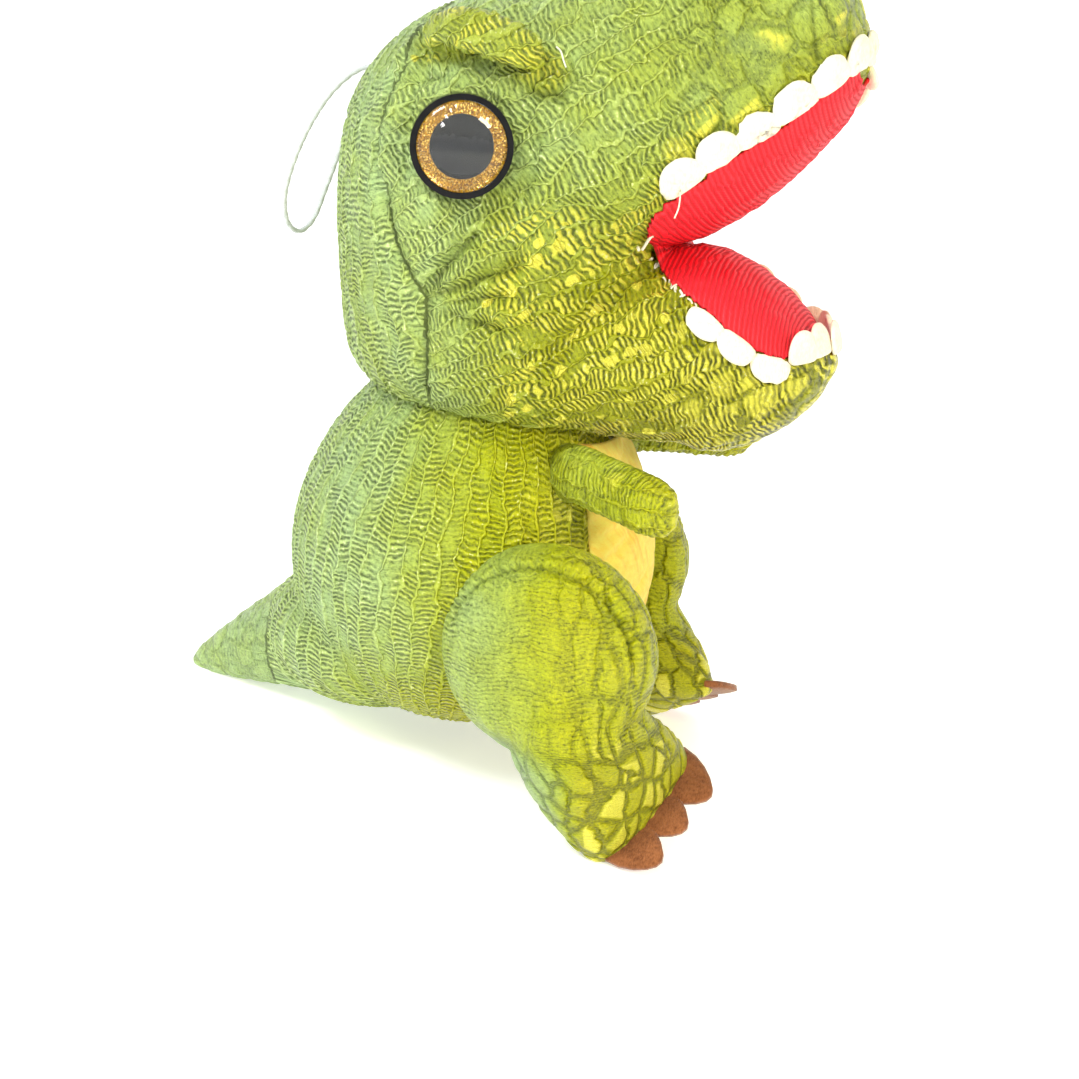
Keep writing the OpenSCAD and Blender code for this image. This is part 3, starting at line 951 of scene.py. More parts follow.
@dataclass(frozen=True)
class Glitter:
    """Gold iris glitter in brown varnish: each flake's facing is painted light or shade, with painted glowing
    sparkles.
    """

    name: str = "eye_glitter"
    flake: float = 3600
    # Flake colours from painted shade to painted light, the painted sparkle colour and the painted glow
    deep: tuple = (0.20, 0.075, 0.001)
    bright: tuple = (0.62, 0.30, 0.004)
    painted_sparkle: tuple = (1.0, 0.72, 0.16)
    painted_glow: tuple = (0.5, 0.32, 0.05)

    def material(self) -> bpy.types.Material:
        """Makes the glitter's material.

        Returns:
            The material.
        """
        material, net, shader = new_material(self.name)
        where = net.place()
        cells = net.cells(where, "F1", 1.0, self.flake)
        shade, turn, kind = net.split(net.out(cells, "Color"))
        # Each flake is painted lighter or darker by its random turn in place of its facing; the brightest are
        # painted as sparkles
        spark = net.smooth(shade, 0.66, 0.98)
        ground = net.mix(net.smooth(turn, 0.1, 0.9), self.deep, self.bright)
        net.feed(shader.inputs["Base Color"], net.mix(spark, ground, self.painted_sparkle))
        net.feed(shader.inputs["Metallic"], 0.55 + spark * 0.4)
        net.feed(shader.inputs["Roughness"], 0.42 - spark * 0.2)
        # Painted glow: the sparkling flakes give off light
        net.feed(shader.inputs["Emission Color"], net.mix(spark, (0, 0, 0), self.painted_glow))
        shader.inputs["Emission Strength"].default_value = 0.25
        shader.inputs["Specular IOR Level"].default_value = 0.1
        net.bump(shader, kind, 0.25, 0.8)
        return material


@dataclass(frozen=True)
class ClearCap:
    """Clear moulded plastic over an eye."""

    name: str = "eye_clear"

    def material(self) -> bpy.types.Material:
        """Makes the clear material.

        Returns:
            The material.
        """
        material, net, shader = new_material(self.name)
        where = net.place()
        dust = net.smooth(net.noise(where, 700, 4, 0.7), 0.62, 0.8)
        net.feed(shader.inputs["Roughness"], dust * 0.04)
        net.feed(shader.inputs["Base Color"], net.mix(dust, (1, 1, 1), (0.93, 0.95, 0.97)))
        shader.inputs["Transmission Weight"].default_value = 1.0
        shader.inputs["IOR"].default_value = 1.45
        shader.inputs["Specular IOR Level"].default_value = 0.2
        return material


@dataclass(frozen=True)
class TwistedCord:
    """White nylon cord; the strands are in the mesh and the fibres in the bump."""

    name: str = "loop_cord"

    def material(self) -> bpy.types.Material:
        """Makes the cord's material.

        Returns:
            The material.
        """
        material, net, shader = new_material(self.name)
        where = net.place()
        fibre = net.noise(where, 2500, 3, 0.6)
        net.feed(shader.inputs["Base Color"], net.mix(fibre, (0.40, 0.44, 0.42), (0.78, 0.80, 0.78)))
        net.feed(shader.inputs["Roughness"], 0.55 + fibre * 0.25)
        shader.inputs["Sheen Weight"].default_value = 0.3
        net.bump(shader, fibre, 0.1, 0.6)
        return material


@dataclass(frozen=True)
class Paper:
    """Plain glowing paper of the floor and the backdrop."""

    name: str
    low: float
    high: float
    rough: float
    glow: float

    def material(self) -> bpy.types.Material:
        """Makes the paper's material.

        Returns:
            The material.
        """
        material, net, shader = new_material(self.name)
        grey = net.mix(net.noise(net.place(), 3), (self.low,) * 3, (self.high,) * 3)
        net.feed(shader.inputs["Base Color"], grey)
        shader.inputs["Roughness"].default_value = self.rough
        shader.inputs["Emission Color"].default_value = (1, 1, 1, 1)
        shader.inputs["Emission Strength"].default_value = self.glow
        return material


Finish = Crinkle | RibKnit | Felt | Plush | Moulded | Glitter | ClearCap | TwistedCord | Paper
COTTON = Felt("thread_cotton", (0.62, 0.58, 0.45), (0.88, 0.84, 0.70))
TOOTH_FELT = Felt("tooth_felt", (0.76, 0.68, 0.48), (0.98, 0.92, 0.72))
CLAW_FELT = Felt("claw_felt", (0.12, 0.035, 0.01), (0.36, 0.13, 0.045))
BEAN_BAG = Felt("bean_bag", (0.45, 0.42, 0.34), (0.72, 0.69, 0.60))


@cache
def material_of(finish: Finish) -> bpy.types.Material:
    """A finish's material, made once and shared by every piece with that finish."""
    return finish.material()


def dress(obj: bpy.types.Object, finish: Finish) -> None:
    """Gives a piece its finish.

    Args:
        obj: The piece.
        finish: Its finish.
    """
    obj.data.materials.clear()
    obj.data.materials.append(material_of(finish))


# ---- camera, light and floor ----


@dataclass
class Studio:
    """Camera at the toy's right, slightly above it, over a pale floor."""

    eye: tuple = (-422.9, -153.9, 195.0)
    heading: float = math.radians(17.75)
    pitch: float = math.radians(15.75)
    lens: float = 56.39
    sensor: float = 36
    sky: float = 0.42
    # Lights as name, place and size in metres, watts and colour
    lights: tuple = (("key", (-0.50, 0.45, 0.75), (0.28, 0.28), 6.5, (0.95, 0.98, 1.0)),
                     ("front", (-0.62, -0.62, 0.50), (0.22, 0.22), 5.4, (1.0, 0.94, 0.68)),
                     ("strip", (-0.75, -0.05, 0.55), (0.03, 0.6), 1.6, (1.0, 1.0, 1.0)))
    target: tuple = (0, 0, 0.11)
    # Half sizes of the floor and the backdrop, and how far behind the toy it hangs, in metres
    floor_half: float = 30.0
    wall_half: float = 6.0
    wall_away: float = 2.5

    def camera(self) -> None:
        """Places the camera, rolled as far as the toy leans."""
        level = np.array([math.cos(self.heading), math.sin(self.heading), 0])
        ahead = level * math.cos(self.pitch) + np.array([0, 0, -math.sin(self.pitch)])
        right = unit(np.cross(ahead, (0, 0, 1)))
        up = np.cross(right, ahead)
        data = bpy.data.cameras.new("Camera")
        data.lens = self.lens
        data.sensor_width = self.sensor
        data.clip_start = 0.01
        camera = bpy.data.objects.new("Camera", data)
        bpy.context.scene.collection.objects.link(camera)
        upright_turn = Matrix(np.stack([right, up, -ahead], 1).tolist()).to_4x4()
        place = Matrix.Translation(Vector(stand([self.eye])[0]))
        camera.matrix_world = place @ Matrix.Rotation(-LEAN, 4, "X") @ upright_turn
        bpy.context.scene.camera = camera

    def light(self) -> None:
        """Adds a cool key at the tail side, a warm fill at the front, a thin strip and a soft sky."""
        world = bpy.data.worlds.new("World")
        bpy.context.scene.world = world
        world.use_nodes = True
        net = Net(world.node_tree)
        sky = net.node("ShaderNodeBackground", None, {"Color": (1.0, 1.0, 1.0), "Strength": self.sky})
        out = net.node("ShaderNodeOutputWorld")
        net.tree.links.new(sky.outputs[0], out.inputs[0])
        for light in self.lights:
            self._panel(*light)
        bpy.context.scene.view_settings.view_transform = "Standard"

    def _panel(self, name: str, place: tuple, size: tuple, watts: float, colour: tuple) -> None:
        """Adds one light that faces the toy.

        Args:
            name: Its name.
            place: Its place in metres.
            size: Its width and height in metres.
            watts: Its power.
            colour: Its colour.
        """
        data = bpy.data.lights.new(name, "AREA")
        data.shape = "RECTANGLE"
        data.size, data.size_y = size
        data.energy = watts
        data.color = colour
        lamp = bpy.data.objects.new(name, data)
        bpy.context.scene.collection.objects.link(lamp)
        aim = Vector(self.target) - Vector(place)
        lamp.matrix_world = Matrix.Translation(place) @ aim.to_track_quat("-Z", "Y").to_matrix().to_4x4()

    def floor(self) -> None:
        """Lays the floor under the feet and hangs the backdrop."""
        h, w, x = self.floor_half, self.wall_half, self.wall_away
        floor = new_mesh_object("floor", np.array([(-h, -h, 0), (h, -h, 0), (h, h, 0), (-h, h, 0)]),
                                [(0, 1, 2, 3)])
        dress(floor, Paper("floor_paper", 0.95, 0.97, rough=0.9, glow=0.45))
        back = new_mesh_object("backdrop", np.array([(x, -w, -0.1), (x, w, -0.1), (x, w, w), (x, -w, w)]),
                               [(3, 2, 1, 0)])
        dress(back, Paper("backdrop_paper", 0.9, 0.9, rough=0.5, glow=0.5))

    def build(self) -> None:
        """Makes the camera, the lights and the floor."""
        self.camera()
        self.light()
        self.floor()


# ---- hanging loop ----


@dataclass
class HangLoop:
    """Loop of twisted cord sewn to the back of the head."""

    route: tuple = ((-3, 24, 194.5), (-4, 30, 193), (-6, 36, 188), (-7, 42, 180), (-8, 47, 170),
                    (-8, 50, 161), (-5, 51, 154), (0, 50, 151), (5, 48, 154), (7, 45, 162),
                    (7, 41, 171), (6, 37, 180), (4, 31, 189), (3, 24, 194.5))
    diameter: float = 1.4
    length: float = 114.1
    twist: float = 3.2
    waist: float = 0.72
    sides: int = 14

    def build(self) -> bpy.types.Object:
        """Returns:
            The cord.
        """
        line = spline(self.route, 14)
        run = run_along(line)
        ahead = unit(np.gradient(line, axis=0))
        wide = unit(np.cross(ahead, (1.3, 0.2, 0.1)))
        high = np.cross(ahead, wide)
        t = round_angles(self.sides)
        rings = []
        for p, w, h, s in zip(line, wide, high, run):
            strands = np.abs(np.cos(t - math.pi * s / self.twist))
            r = self.diameter / 2 * (self.waist + (1 - self.waist) * strands)
            rings.append(p + r[:, None] * (np.cos(t)[:, None] * w + np.sin(t)[:, None] * h))
        obj = joined("hanging_loop_cord", [loft(np.array(rings))])
        outward(obj)
        dress(obj, TwistedCord())
        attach(obj, "head")
        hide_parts("hang_loop")
        return obj


# ---- skins ----


class Side(Enum):
    """Side of the toy, with the sign that mirrors the right side's shapes."""

    RIGHT = 1
    LEFT = -1


@dataclass(frozen=True)
class Seam:
    """A sewn line or a crease pressed into a skin, with puckers beside it; sizes in millimetres."""

    route: tuple
    depth: float = 1.3
    width: float = 1.6
    pucker: float = 0.25
    reach: float = 5.0
    pitch: float = 2.8
    # Width of the painted shade along the seam
    line: float = 0.55


def sew(points: np.ndarray, normals: np.ndarray, sewn: np.ndarray, seam: Seam, both: bool) -> None:
    """Presses a seam into a skin.

    Args:
        points: Upright points of the skin, changed in place.
        normals: Their normals.
        sewn: Nearness of a seam for each point, which paints shade along the seam, changed in place.
        seam: The seam, drawn on the right side.
        both: Whether the left side gets it too.
    """
    for sign in (1, -1) if both else (1,):
        away, run = along_route(points, spline(np.array(seam.route) * (sign, 1, 1), 6))
        press = -seam.depth * np.exp(-(away / seam.width) ** 2)
        fold = seam.pucker * np.cos(run * 2 * math.pi / seam.pitch) * np.exp(-away / seam.reach)
        near = away < seam.reach * 4
        points += normals * np.where(near, press + fold, 0)[:, None]
        # Nearness of the seam, which paints shade along it
        np.maximum(sewn, np.exp(-(away / seam.line) ** 2), out=sewn)


def finish_skin(obj: bpy.types.Object, flow: np.ndarray, zone: np.ndarray, sewn: np.ndarray,
                scaly: np.ndarray, fabric: Crinkle) -> None:
    """Stores a skin's attributes, lifts its ribs and dresses it.

    Args:
        obj: The skin.
        flow: Millimetres along the ribs, across them and in depth.
        zone: Strength of the wrinkles, share of foil and tone.
        sewn: Nearness of a seam, which paints shade along it.
        scaly: How far scales take the place of ribs.
        fabric: The finish.
    """
    set_vectors(obj, "flow", flow)
    set_vectors(obj, "zone", zone)
    set_vectors(obj, "sewn", np.stack([sewn, (1 - scaly) * fabric.rib_share, scaly], 1))
    fabric.raised(obj)
    dress(obj, fabric)


@dataclass
class Head:
    """Head with its open jaws, brows, lining, teeth and eyes."""

    # Sections as [lower y, z, upper y, z, half width, squareness of the lower half]
    rows: tuple = (
        (-43, 105, 26, 115.5, 33.5, 2.2), (-49.5, 111, 31, 125, 41.5, 2.2),
        (-53, 123, 32, 145, 46, 2.2), (-54, 138.5, 31.5, 168, 47.5, 2.3),
        (-54, 147.5, 26, 190, 48, 2.4), (-54.2, 151.8, 10, 206, 46, 2.4),
        (-57, 152.2, -12, 214, 43, 2.4), (-62.5, 154, -34, 219, 38, 2.4),
        (-71, 158.7, -52, 223, 33.5, 2.4), (-80.5, 166, -68, 225, 30, 2.4),
        (-89, 174.5, -83, 223, 26.5, 2.4), (-96, 183, -94.5, 215, 20, 2.3),
        (-99.5, 190, -99, 206, 11, 2.2), (-100.8, 195, -100.6, 201.5, 5, 2.2))
    jaw_rows: tuple = (
        (-16, 106, -12, 149, 41, 2.2), (-38, 102.5, -34, 149.5, 38.5, 2.2),
        (-50, 101.2, -45, 149.5, 36, 2.2), (-59.5, 101, -54.5, 149.5, 34, 2.2),
        (-67, 99.5, -64, 149.5, 32, 2.4),
        (-77, 102, -73.5, 145.5, 28.5, 2.6), (-86, 107, -83, 138.5, 23.5, 2.6),
        (-92.5, 113.5, -90.5, 129.5, 17, 2.4), (-95.5, 119, -95.5, 126, 8, 2.2),
        (-96.5, 121, -96.5, 124, 3, 2.2))
    brow_r: float = 5.3
    brow: tuple = ((-37, -4, 201.5), (-42, -12, 202.5), (-45, -22, 200.5), (-44.5, -34, 195.5))
    # Lip lines in the side view, from the mouth corner to the tip, as [y, z]
    upper_lip: tuple = ((-52, 152), (-54, 158), (-58, 163.5), (-64, 167.5), (-73, 174),
                        (-82, 180), (-93, 188), (-100.5, 195))
    lower_lip: tuple = ((-52, 149), (-56, 145.5), (-61, 142.5), (-67.5, 138), (-75.5, 132),
                        (-83, 126.8), (-90, 125.5), (-97, 126.5))
    eye_place: tuple = (-46.5, -14.5, 176.5)
    eye_turn: float = math.radians(22)
    eye_tip: float = math.radians(-95)
    eye_r: float = 12.0
    eye_sunk: float = 2.1
    eye_gap: float = 0.9
    # Where the ribs fan out from, as [y, z]
    fan: tuple = (170, 35)
    # The dart between the side and the back panel, as [z, y]
    dart_line: tuple = ((116, -1.2), (128, -3.3), (140, -3.8), (152, 3), (165, 6.5), (175, 8),
                        (186, 6.5), (194, 3.4), (206, 0), (216, -3))
    # Dart above and below the ear, folds behind and over the eye, nostril, and the puckers at the dart
    seams: tuple = (
        Seam(((-36, 3.4, 194.5), (-40, 6.5, 186.5), (-42.8, 8, 175), (-44.5, 6.5, 165)),
             depth=1.5, width=1.9, pucker=0.2, line=0.01),
        Seam(((-44.5, 6.5, 165), (-45.5, 3, 152), (-46.2, -3.8, 140.4), (-44, -3.3, 128),
              (-38.8, -1.2, 116)), depth=1.6, width=1.7, pucker=0.25, line=0.7),
        Seam(((-31, 3, 204), (-37, 5.5, 194), (-41, 7.5, 184), (-44, 7, 172)),
             depth=-2.0, width=2.6, pucker=0, line=0.01),
        Seam(((-30, -2, 205), (-39, -0.5, 196), (-44, 0, 186), (-46, 0, 172)),
             depth=1.7, width=1.6, pucker=0.2, line=0.01),
        Seam(((-41, -1, 193), (-45, -9, 194.5), (-47, -18, 193.5), (-46, -28, 190.5), (-43, -37, 189)),
             depth=2.6, width=1.7, pucker=0.3, line=0.6),
        Seam(((-31, -5, 206), (-35, -14, 208), (-38, -24, 206), (-40, -35, 200), (-41, -40, 193)),
             depth=1.8, width=1.8, pucker=0.3, line=0.01),
        Seam(((0, -84, 224), (-12, -86, 218), (-21, -90, 209), (-23, -91.5, 202), (-22.5, -92.6, 195.6)),
             depth=0.8, width=1.2, pucker=0.15, line=0.55),
        Seam(((-46, -5, 141), (-46, -14, 144), (-43, -27, 149)), depth=3.2, width=1.8, pucker=0, line=0.5),
        Seam(((-46, -5, 140), (-46, -14, 140.5), (-43, -24, 142)), depth=2.4, width=1.6, pucker=0, line=0.4),
        Seam(((-46, -5, 139), (-45, -14, 136), (-42, -22, 134)), depth=2.4, width=1.6, pucker=0, line=0.4),
        Seam(((-46, -4, 142), (-47, -10, 149), (-46.5, -17, 156)), depth=3.2, width=1.8, pucker=0, line=0.5))
    voxel: float = 0.85
    smoothing: int = 4
    # Distances below the mouth corner, along the bend's axis, where the jaw starts and has all the pull
    bend: tuple = (-38, -18)
    lining_thick: float = 0.8
    lining_lift: float = 0.55
    # The lime end of this fabric is darkened as painted shade on the lower cheeks and the jaw
    fabric: Crinkle = Crinkle("crinkle_head", lime_painted_shade=0.42, gap=4.4, wander=3.4, shake=1.3,
                              scale_len=7.5, scale_wide=6, crack_dark=0.4)

    @staticmethod
    def _section(row: np.ndarray, t: np.ndarray) -> np.ndarray:
        """Points of one section at angles t.

        Args:
            row: A section as listed in rows.
            t: Angles round the section.

        Returns:
            Upright points in millimetres.
        """
        low, high, half_w, square = row[0:2], row[2:4], row[4], row[5]
        middle, half = (low + high) / 2, np.linalg.norm(high - low) / 2
        up = unit(high - low)
        e = np.where(np.sin(t) < 0, 2 / square, 2 / 2.2)
        u = half_w * power(np.cos(t), e)
        v = half * power(np.sin(t), e)
        return np.stack([u, middle[0] + v * up[0], middle[1] + v * up[1]], 1)

    def _loft(self, rows: tuple) -> Shape:
        """Shell through a list of sections."""
        t = round_angles(96)
        return loft(np.array([self._section(row, t) for row in spline(rows, 5)]))

    def _brow(self) -> Shape:
        """Sewn ridge over the right eye.

        Returns:
            The closed shell.
        """
        path = spline(self.brow, 8)
        ahead = unit(np.gradient(path, axis=0))
        side = unit(np.cross(ahead, (0.75, 0, -0.66)))
        out = np.cross(side, ahead)
        rings = []
        t = round_angles(24)
        for k, (p, a, b) in enumerate(zip(path, side, out)):
            s = k / (len(path) - 1)
            r = self.brow_r * math.sqrt(max(1 - (2 * s - 1) ** 4, 0.02))
            rings.append(p + r * (np.cos(t)[:, None] * a * 1.15 + np.sin(t)[:, None] * b * 0.8))
        return loft(np.array(rings))

    def eye_axes(self) -> tuple:
        """Centre and outward normal of the right eye.

        Returns:
            The centre in upright millimetres and the unit normal.
        """
        n = np.array([math.sin(self.eye_tip), 0, math.cos(self.eye_tip)])
        c, s = math.cos(self.eye_turn), math.sin(self.eye_turn)
        return np.array(self.eye_place), np.array([n[0] * c - n[1] * s, n[0] * s + n[1] * c, n[2]])

    def _seat_eyes(self, points: np.ndarray) -> None:
        """Presses the skin flat under each eye and lets it swell round the rim.

        Args:
            points: Upright points of the skin, changed in place.
        """
        centre, normal = self.eye_axes()
        rim, sunk = self.eye_r + self.eye_gap, -self.eye_sunk
        for sign in (1, -1):
            c, n = centre * (sign, 1, 1), normal * (sign, 1, 1)
            rel = points - c
            high = rel @ n
            r = np.linalg.norm(rel - high[:, None] * n, axis=1)
            outer = high > -14
            inside = (r < rim) & outer
            points[inside] += n * np.minimum(sunk - high[inside], 0)[:, None]
            ring = (r >= rim) & (r < self.eye_r + 7) & outer
            level = sunk + 1.6 * ease(r[ring], rim, self.eye_r + 2.6) \
                + 30 * ease(r[ring], self.eye_r + 2.6, self.eye_r + 30)
            points[ring] += n * np.minimum(level - high[ring], 0)[:, None]

    def _behind(self, p: np.ndarray) -> np.ndarray:
        """Whether points lie on the back panel, behind the dart."""
        z, y = np.array(self.dart_line).T
        return p[:, 1] > np.interp(p[:, 2], z, y)

    def _flow(self, p: np.ndarray) -> np.ndarray:
        """Ribs fan out from the nape to the snout; on the back panel they run downwards.

        Args:
            p: Upright points in millimetres.

        Returns:
            Millimetres along the ribs, across them and in depth.
        """
        y, z = self.fan[0] - p[:, 1], p[:, 2] - self.fan[1]
        side = np.stack([np.hypot(y, z), np.arctan2(z, y) * 235, p[:, 0] * 0.6], 1)
        back = np.stack([p[:, 2], np.arctan2(p[:, 0], p[:, 1] + 12) * 44, p[:, 1] * 0.3], 1)
        return np.where(self._behind(p)[:, None], back, side)

    def _zone(self, p: np.ndarray) -> tuple:
        """Wrinkles on the cheeks, foil by the lips and on the jaw, scales on the snout, and a tone from a
        mint crown to lime that is partly painted light.

        Args:
            p: Upright points in millimetres.

        Returns:
            The zone vectors, and how far scales take the place of ribs.
        """
        above = p[:, 2] - 151 - 0.9 * np.maximum(-53 - p[:, 1], 0)
        front = ease(p[:, 1], -10, -40)
        foil = ease(above, 17 + 14 * ease(p[:, 1], -55, -62), 3) * front * 0.8 * (1 - self._behind(p))
        # Tone from mint at the back and crown to lime towards the snout and below the lips, partly painted
        # light
        tone = 0.06 + 0.26 * ease(p[:, 1], 10, -75) + 0.5 * ease(above, 22, -14) * (
            0.12 + 0.88 * ease(p[:, 1], 0, -38))
        wrinkly = 1.0 - 0.55 * ease(p[:, 1], -58, -80) * ease(above, 0, 14) - 0.25 * ease(p[:, 2], 165, 195)
        scaly = ease(p[:, 1], -54, -70) * ease(above, 4, 14) * 0.9
        scaly = np.maximum(scaly, ease(p[:, 1], -58, -72) * ease(above, -14, -28) * 0.7)
        foil = np.minimum(foil * (1 + 0.35 * ease(p[:, 1], -58, -66)), 1.0)
        # Round each brow the tone rises, which with the darkened lime end paints darker olive shade there,
        # and foil is added
        for sign in (1, -1):
            near = ease(along_route(p, spline(self.brow, 6) * (sign, 1, 1))[0], 9, 5)
            tone, foil = tone + 0.3 * near, np.maximum(foil, 0.35 * near)
        return np.stack([wrinkly, foil, tone], 1), scaly

    def skin(self) -> bpy.types.Object:
        """Head, jaw and brows as one sewn skin.

        Returns:
            The skin.
        """
        brow = self._brow()
        obj = weld("head_cloth", [self._loft(self.rows), self._loft(self.jaw_rows), brow,
                                  brow.mirrored()], self.voxel, self.smoothing)
        p, n = read_points(obj), read_normals(obj)
        flow, (zone, scaly) = self._flow(p), self._zone(p)
        sewn = np.zeros(len(p))
        tree = tree_of(obj)
        for seam in self.seams:
            sew(p, n, sewn, replace(seam, route=laid_on(tree, seam.route, 3)), True)
        self._seat_eyes(p)
        write_points(obj, p)
        finish_skin(obj, flow, zone, sewn, scaly, self.fabric)
        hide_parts("head_skin", "jaw_skin", "head_stuffing", "jaw_stuffing", "right_brow",
                    "left_brow")
        return obj

    def jaw_blend(self, obj: bpy.types.Object) -> None:
        """Bakes a piece's placement into its own mesh.

        Args:
            obj: The skin or the lining.
        """
        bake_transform(obj)

    def lining(self, tree: BVHTree) -> bpy.types.Object:
        """Ribbed lining over the palate and the mouth floor, folded at the corner.

        Args:
            tree: Search tree of the head skin.

        Returns:
            The lining.
        """
        palate = spline(self.rows[5:13], 10)[::-1]
        floor = spline(self.jaw_rows[3:9], 10)
        below, above = np.linspace(-math.pi, 0, 61), np.linspace(math.pi, 0, 61)
        lines = [self._clip(self._section(row, below), self.upper_lip, True) for row in palate]
        lines += [self._clip(self._section(row, above), self.lower_lip, False) for row in floor[2:]]
        grid = np.array(lines)
        count, n = grid.shape[:2]
        run = run_along(grid[:, n // 2])
        flat = snapped(tree, grid.reshape(-1, 3), self.lining_lift)
        obj = new_mesh_object("mouth_lining_cloth", stand(flat), grid_faces(count, n))
        set_vectors(obj, "flow", np.stack([np.repeat(run, n), flat[:, 0], np.zeros(len(flat))], 1))
        thicken(obj, self.lining_thick, 0)
        dress(obj, RibKnit())
        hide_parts("palate_lining", "mouth_floor")
        return obj

    @staticmethod
    def _clip(line: np.ndarray, lip: tuple, below: bool) -> np.ndarray:
        """The stretch of a section on the mouth's side of a lip line, evenly sampled again.

        Args:
            line: Points of the section.
            lip: The lip in the side view, as [y, z].
            below: Whether the stretch lies below the lip line.

        Returns:
            As many points as line has.
        """
        lip = np.array(lip, float)
        order = np.argsort(lip[:, 0])
        edge = np.interp(line[:, 1], lip[order, 0], lip[order, 1])
        inside = line[:, 2] < edge if below else line[:, 2] > edge
        if inside.sum() < 4:
            inside = np.abs(np.arange(len(line)) - len(line) // 2) < 3
        part = line[inside]
        run = run_along(part)
        even = np.linspace(0, run[-1], len(line))
        return np.stack([np.interp(even, run, part[:, k]) for k in range(3)], 1)


@dataclass
class Body:
    """Torso and tail as one skin, with the plush belly panel."""

    foot: tuple = (0, 9, 20)
    tilt: float = math.radians(9)
    profile: tuple = ((8, 0.5), (18, 2.2), (26, 6), (33.5, 11), (39.5, 18), (45, 28), (48, 39),
                      (48.5, 50), (46.5, 62), (42, 74), (37.5, 82), (33, 88), (30, 93), (20, 96))
    tail_root: tuple = (0, 36, 41)
    tail_drop: float = math.radians(18.5)
    tail_r: float = 22.0
    tail_len: float = 58.5
    tail_bend: tuple = ((0, 46, 42), (0, 62, 36))
    # Middle and half sizes of the filled-out seat
    seat: tuple = (0, 27, 42)
    seat_half: tuple = (35, 33, 22.5)
    # Heights between which the belly panel lies, its thickness and its folds
    belly_span: tuple = (16, 87)
    belly_thick: float = 1.8
    belly_folds: int = 9
    belly_seed: int = 5
    voxel: float = 0.9
    smoothing: int = 22
    fabric: Crinkle = Crinkle("crinkle_body", gap=4.8, wander=1.6, shake=0.8, scale_len=6.5,
                              scale_wide=6, wrinkle_high=0.36, crack_dark=0.35)

    def axis_point(self, x: np.ndarray, depth: np.ndarray, high: np.ndarray) -> np.ndarray:
        """Turns torso coordinates (sideways, backwards, up its axis) into upright points."""
        c, s = math.cos(self.tilt), math.sin(self.tilt)
        return np.stack([x + self.foot[0], self.foot[1] + depth * c - high * s,
                         self.foot[2] + depth * s + high * c], -1)

    def torso_coordinates(self, p: np.ndarray) -> tuple:
        """Turns upright points into torso coordinates.

        Args:
            p: Upright points in millimetres.

        Returns:
            Sideways, backwards and up the axis, in millimetres.
        """
        c, s = math.cos(self.tilt), math.sin(self.tilt)
        y, z = p[:, 1] - self.foot[1], p[:, 2] - self.foot[2]
        return p[:, 0], y * c + z * s, -y * s + z * c

    def _torso(self) -> Shape:
        """Turned torso.

        Returns:
            The closed shell.
        """
        t = round_angles(96)
        rings = [self.axis_point(r * np.cos(t), r * np.sin(t), np.full(96, h))
                 for r, h in spline(self.profile, 4)]
        return loft(np.array(rings))

    def _tail(self) -> Shape:
        """Tapering tail that starts inside the torso.

        Returns:
            The closed shell.
        """
        t = round_angles(64)
        back = np.array([0, math.cos(self.tail_drop), -math.sin(self.tail_drop)])
        up = np.array([0, math.sin(self.tail_drop), math.cos(self.tail_drop)])
        rings = []
        for s in np.concatenate([np.linspace(0, 0.9, 19), [0.94, 0.97, 0.99, 0.998]]):
            r = self.tail_r * (1 - s) ** 0.6 * (1 - 0.25 * s) * (1 + 0.04 * (1 - s) ** 3)
            centre = np.array(self.tail_root) + back * s * self.tail_len
            rings.append(centre + r * (np.cos(t)[:, None] * (1, 0, 0) + np.sin(t)[:, None] * up))
        return loft(np.array(rings))

    def _seat(self) -> Shape:
        """Filled-out seat between the torso's base and the tail's underside.

        Returns:
            The closed shell.
        """
        t = round_angles(64)
        (x, y, z), (wide, deep, high) = self.seat, self.seat_half
        rings = []
        for a in np.linspace(-math.pi / 2 + 0.05, math.pi / 2 - 0.05, 24):
            rings.append(np.stack([x + wide * math.cos(a) * np.cos(t), y + deep * math.cos(a) * np.sin(t),
                                   np.full(64, z + high * math.sin(a))], 1))
        return loft(np.array(rings))

    def skin(self) -> bpy.types.Object:
        """Welds torso and tail, rests the base on the floor and dresses the skin.

        Returns:
            The skin.
        """
        obj = weld("body_cloth", [self._torso(), self._tail(), self._seat()], self.voxel,
                   self.smoothing)
        p = read_points(obj)
        x, depth, high = self.torso_coordinates(p)
        turn = np.arctan2(x, depth)
        behind = ease(p[:, 1], 57, 59)
        flow = np.where(behind[:, None] > 0.5, np.stack([p[:, 1], p[:, 2], x * 0.8], 1),
                        np.stack([high, turn * 47, depth * 0.1], 1))
        front = ease(p[:, 1], 22, -38)
        foil = 0.30 * ease(p[:, 1], -14, -34) * ease(high, 25, 45)
        # Tone from mint at the back and top to lime at the front and low down, partly painted light
        tone = 0.04 + 0.86 * front + 0.45 * ease(high, 34, 8) * ease(p[:, 1], 50, 0)
        wrinkly = 1.0 - 0.75 * behind - 0.25 * front
        n, sewn = read_normals(obj), np.zeros(len(p))
        t = np.linspace(math.pi * 0.95, -math.pi * 0.1, 15)
        root = tuple((-20.5 * math.sin(a) * 0.95, 56 - 3 * math.cos(a), 36 + 17.5 * math.cos(a)) for a in t)
        sew(p, n, sewn, Seam(root, depth=0.9, width=1.6, pucker=0.2), True)
        settle(p)
        write_points(obj, p)
        finish_skin(obj, flow, np.stack([wrinkly, foil, tone], 1), sewn, behind * 0.6, self.fabric)
        p = read_points(obj)
        settle(p)
        write_points(obj, p)
        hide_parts("torso_skin", "torso_stuffing", "tail_skin", "tail_stuffing")
        return obj

    def tail_blend(self, obj: bpy.types.Object) -> None:
        """Bakes the skin's placement into its own mesh."""
        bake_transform(obj)

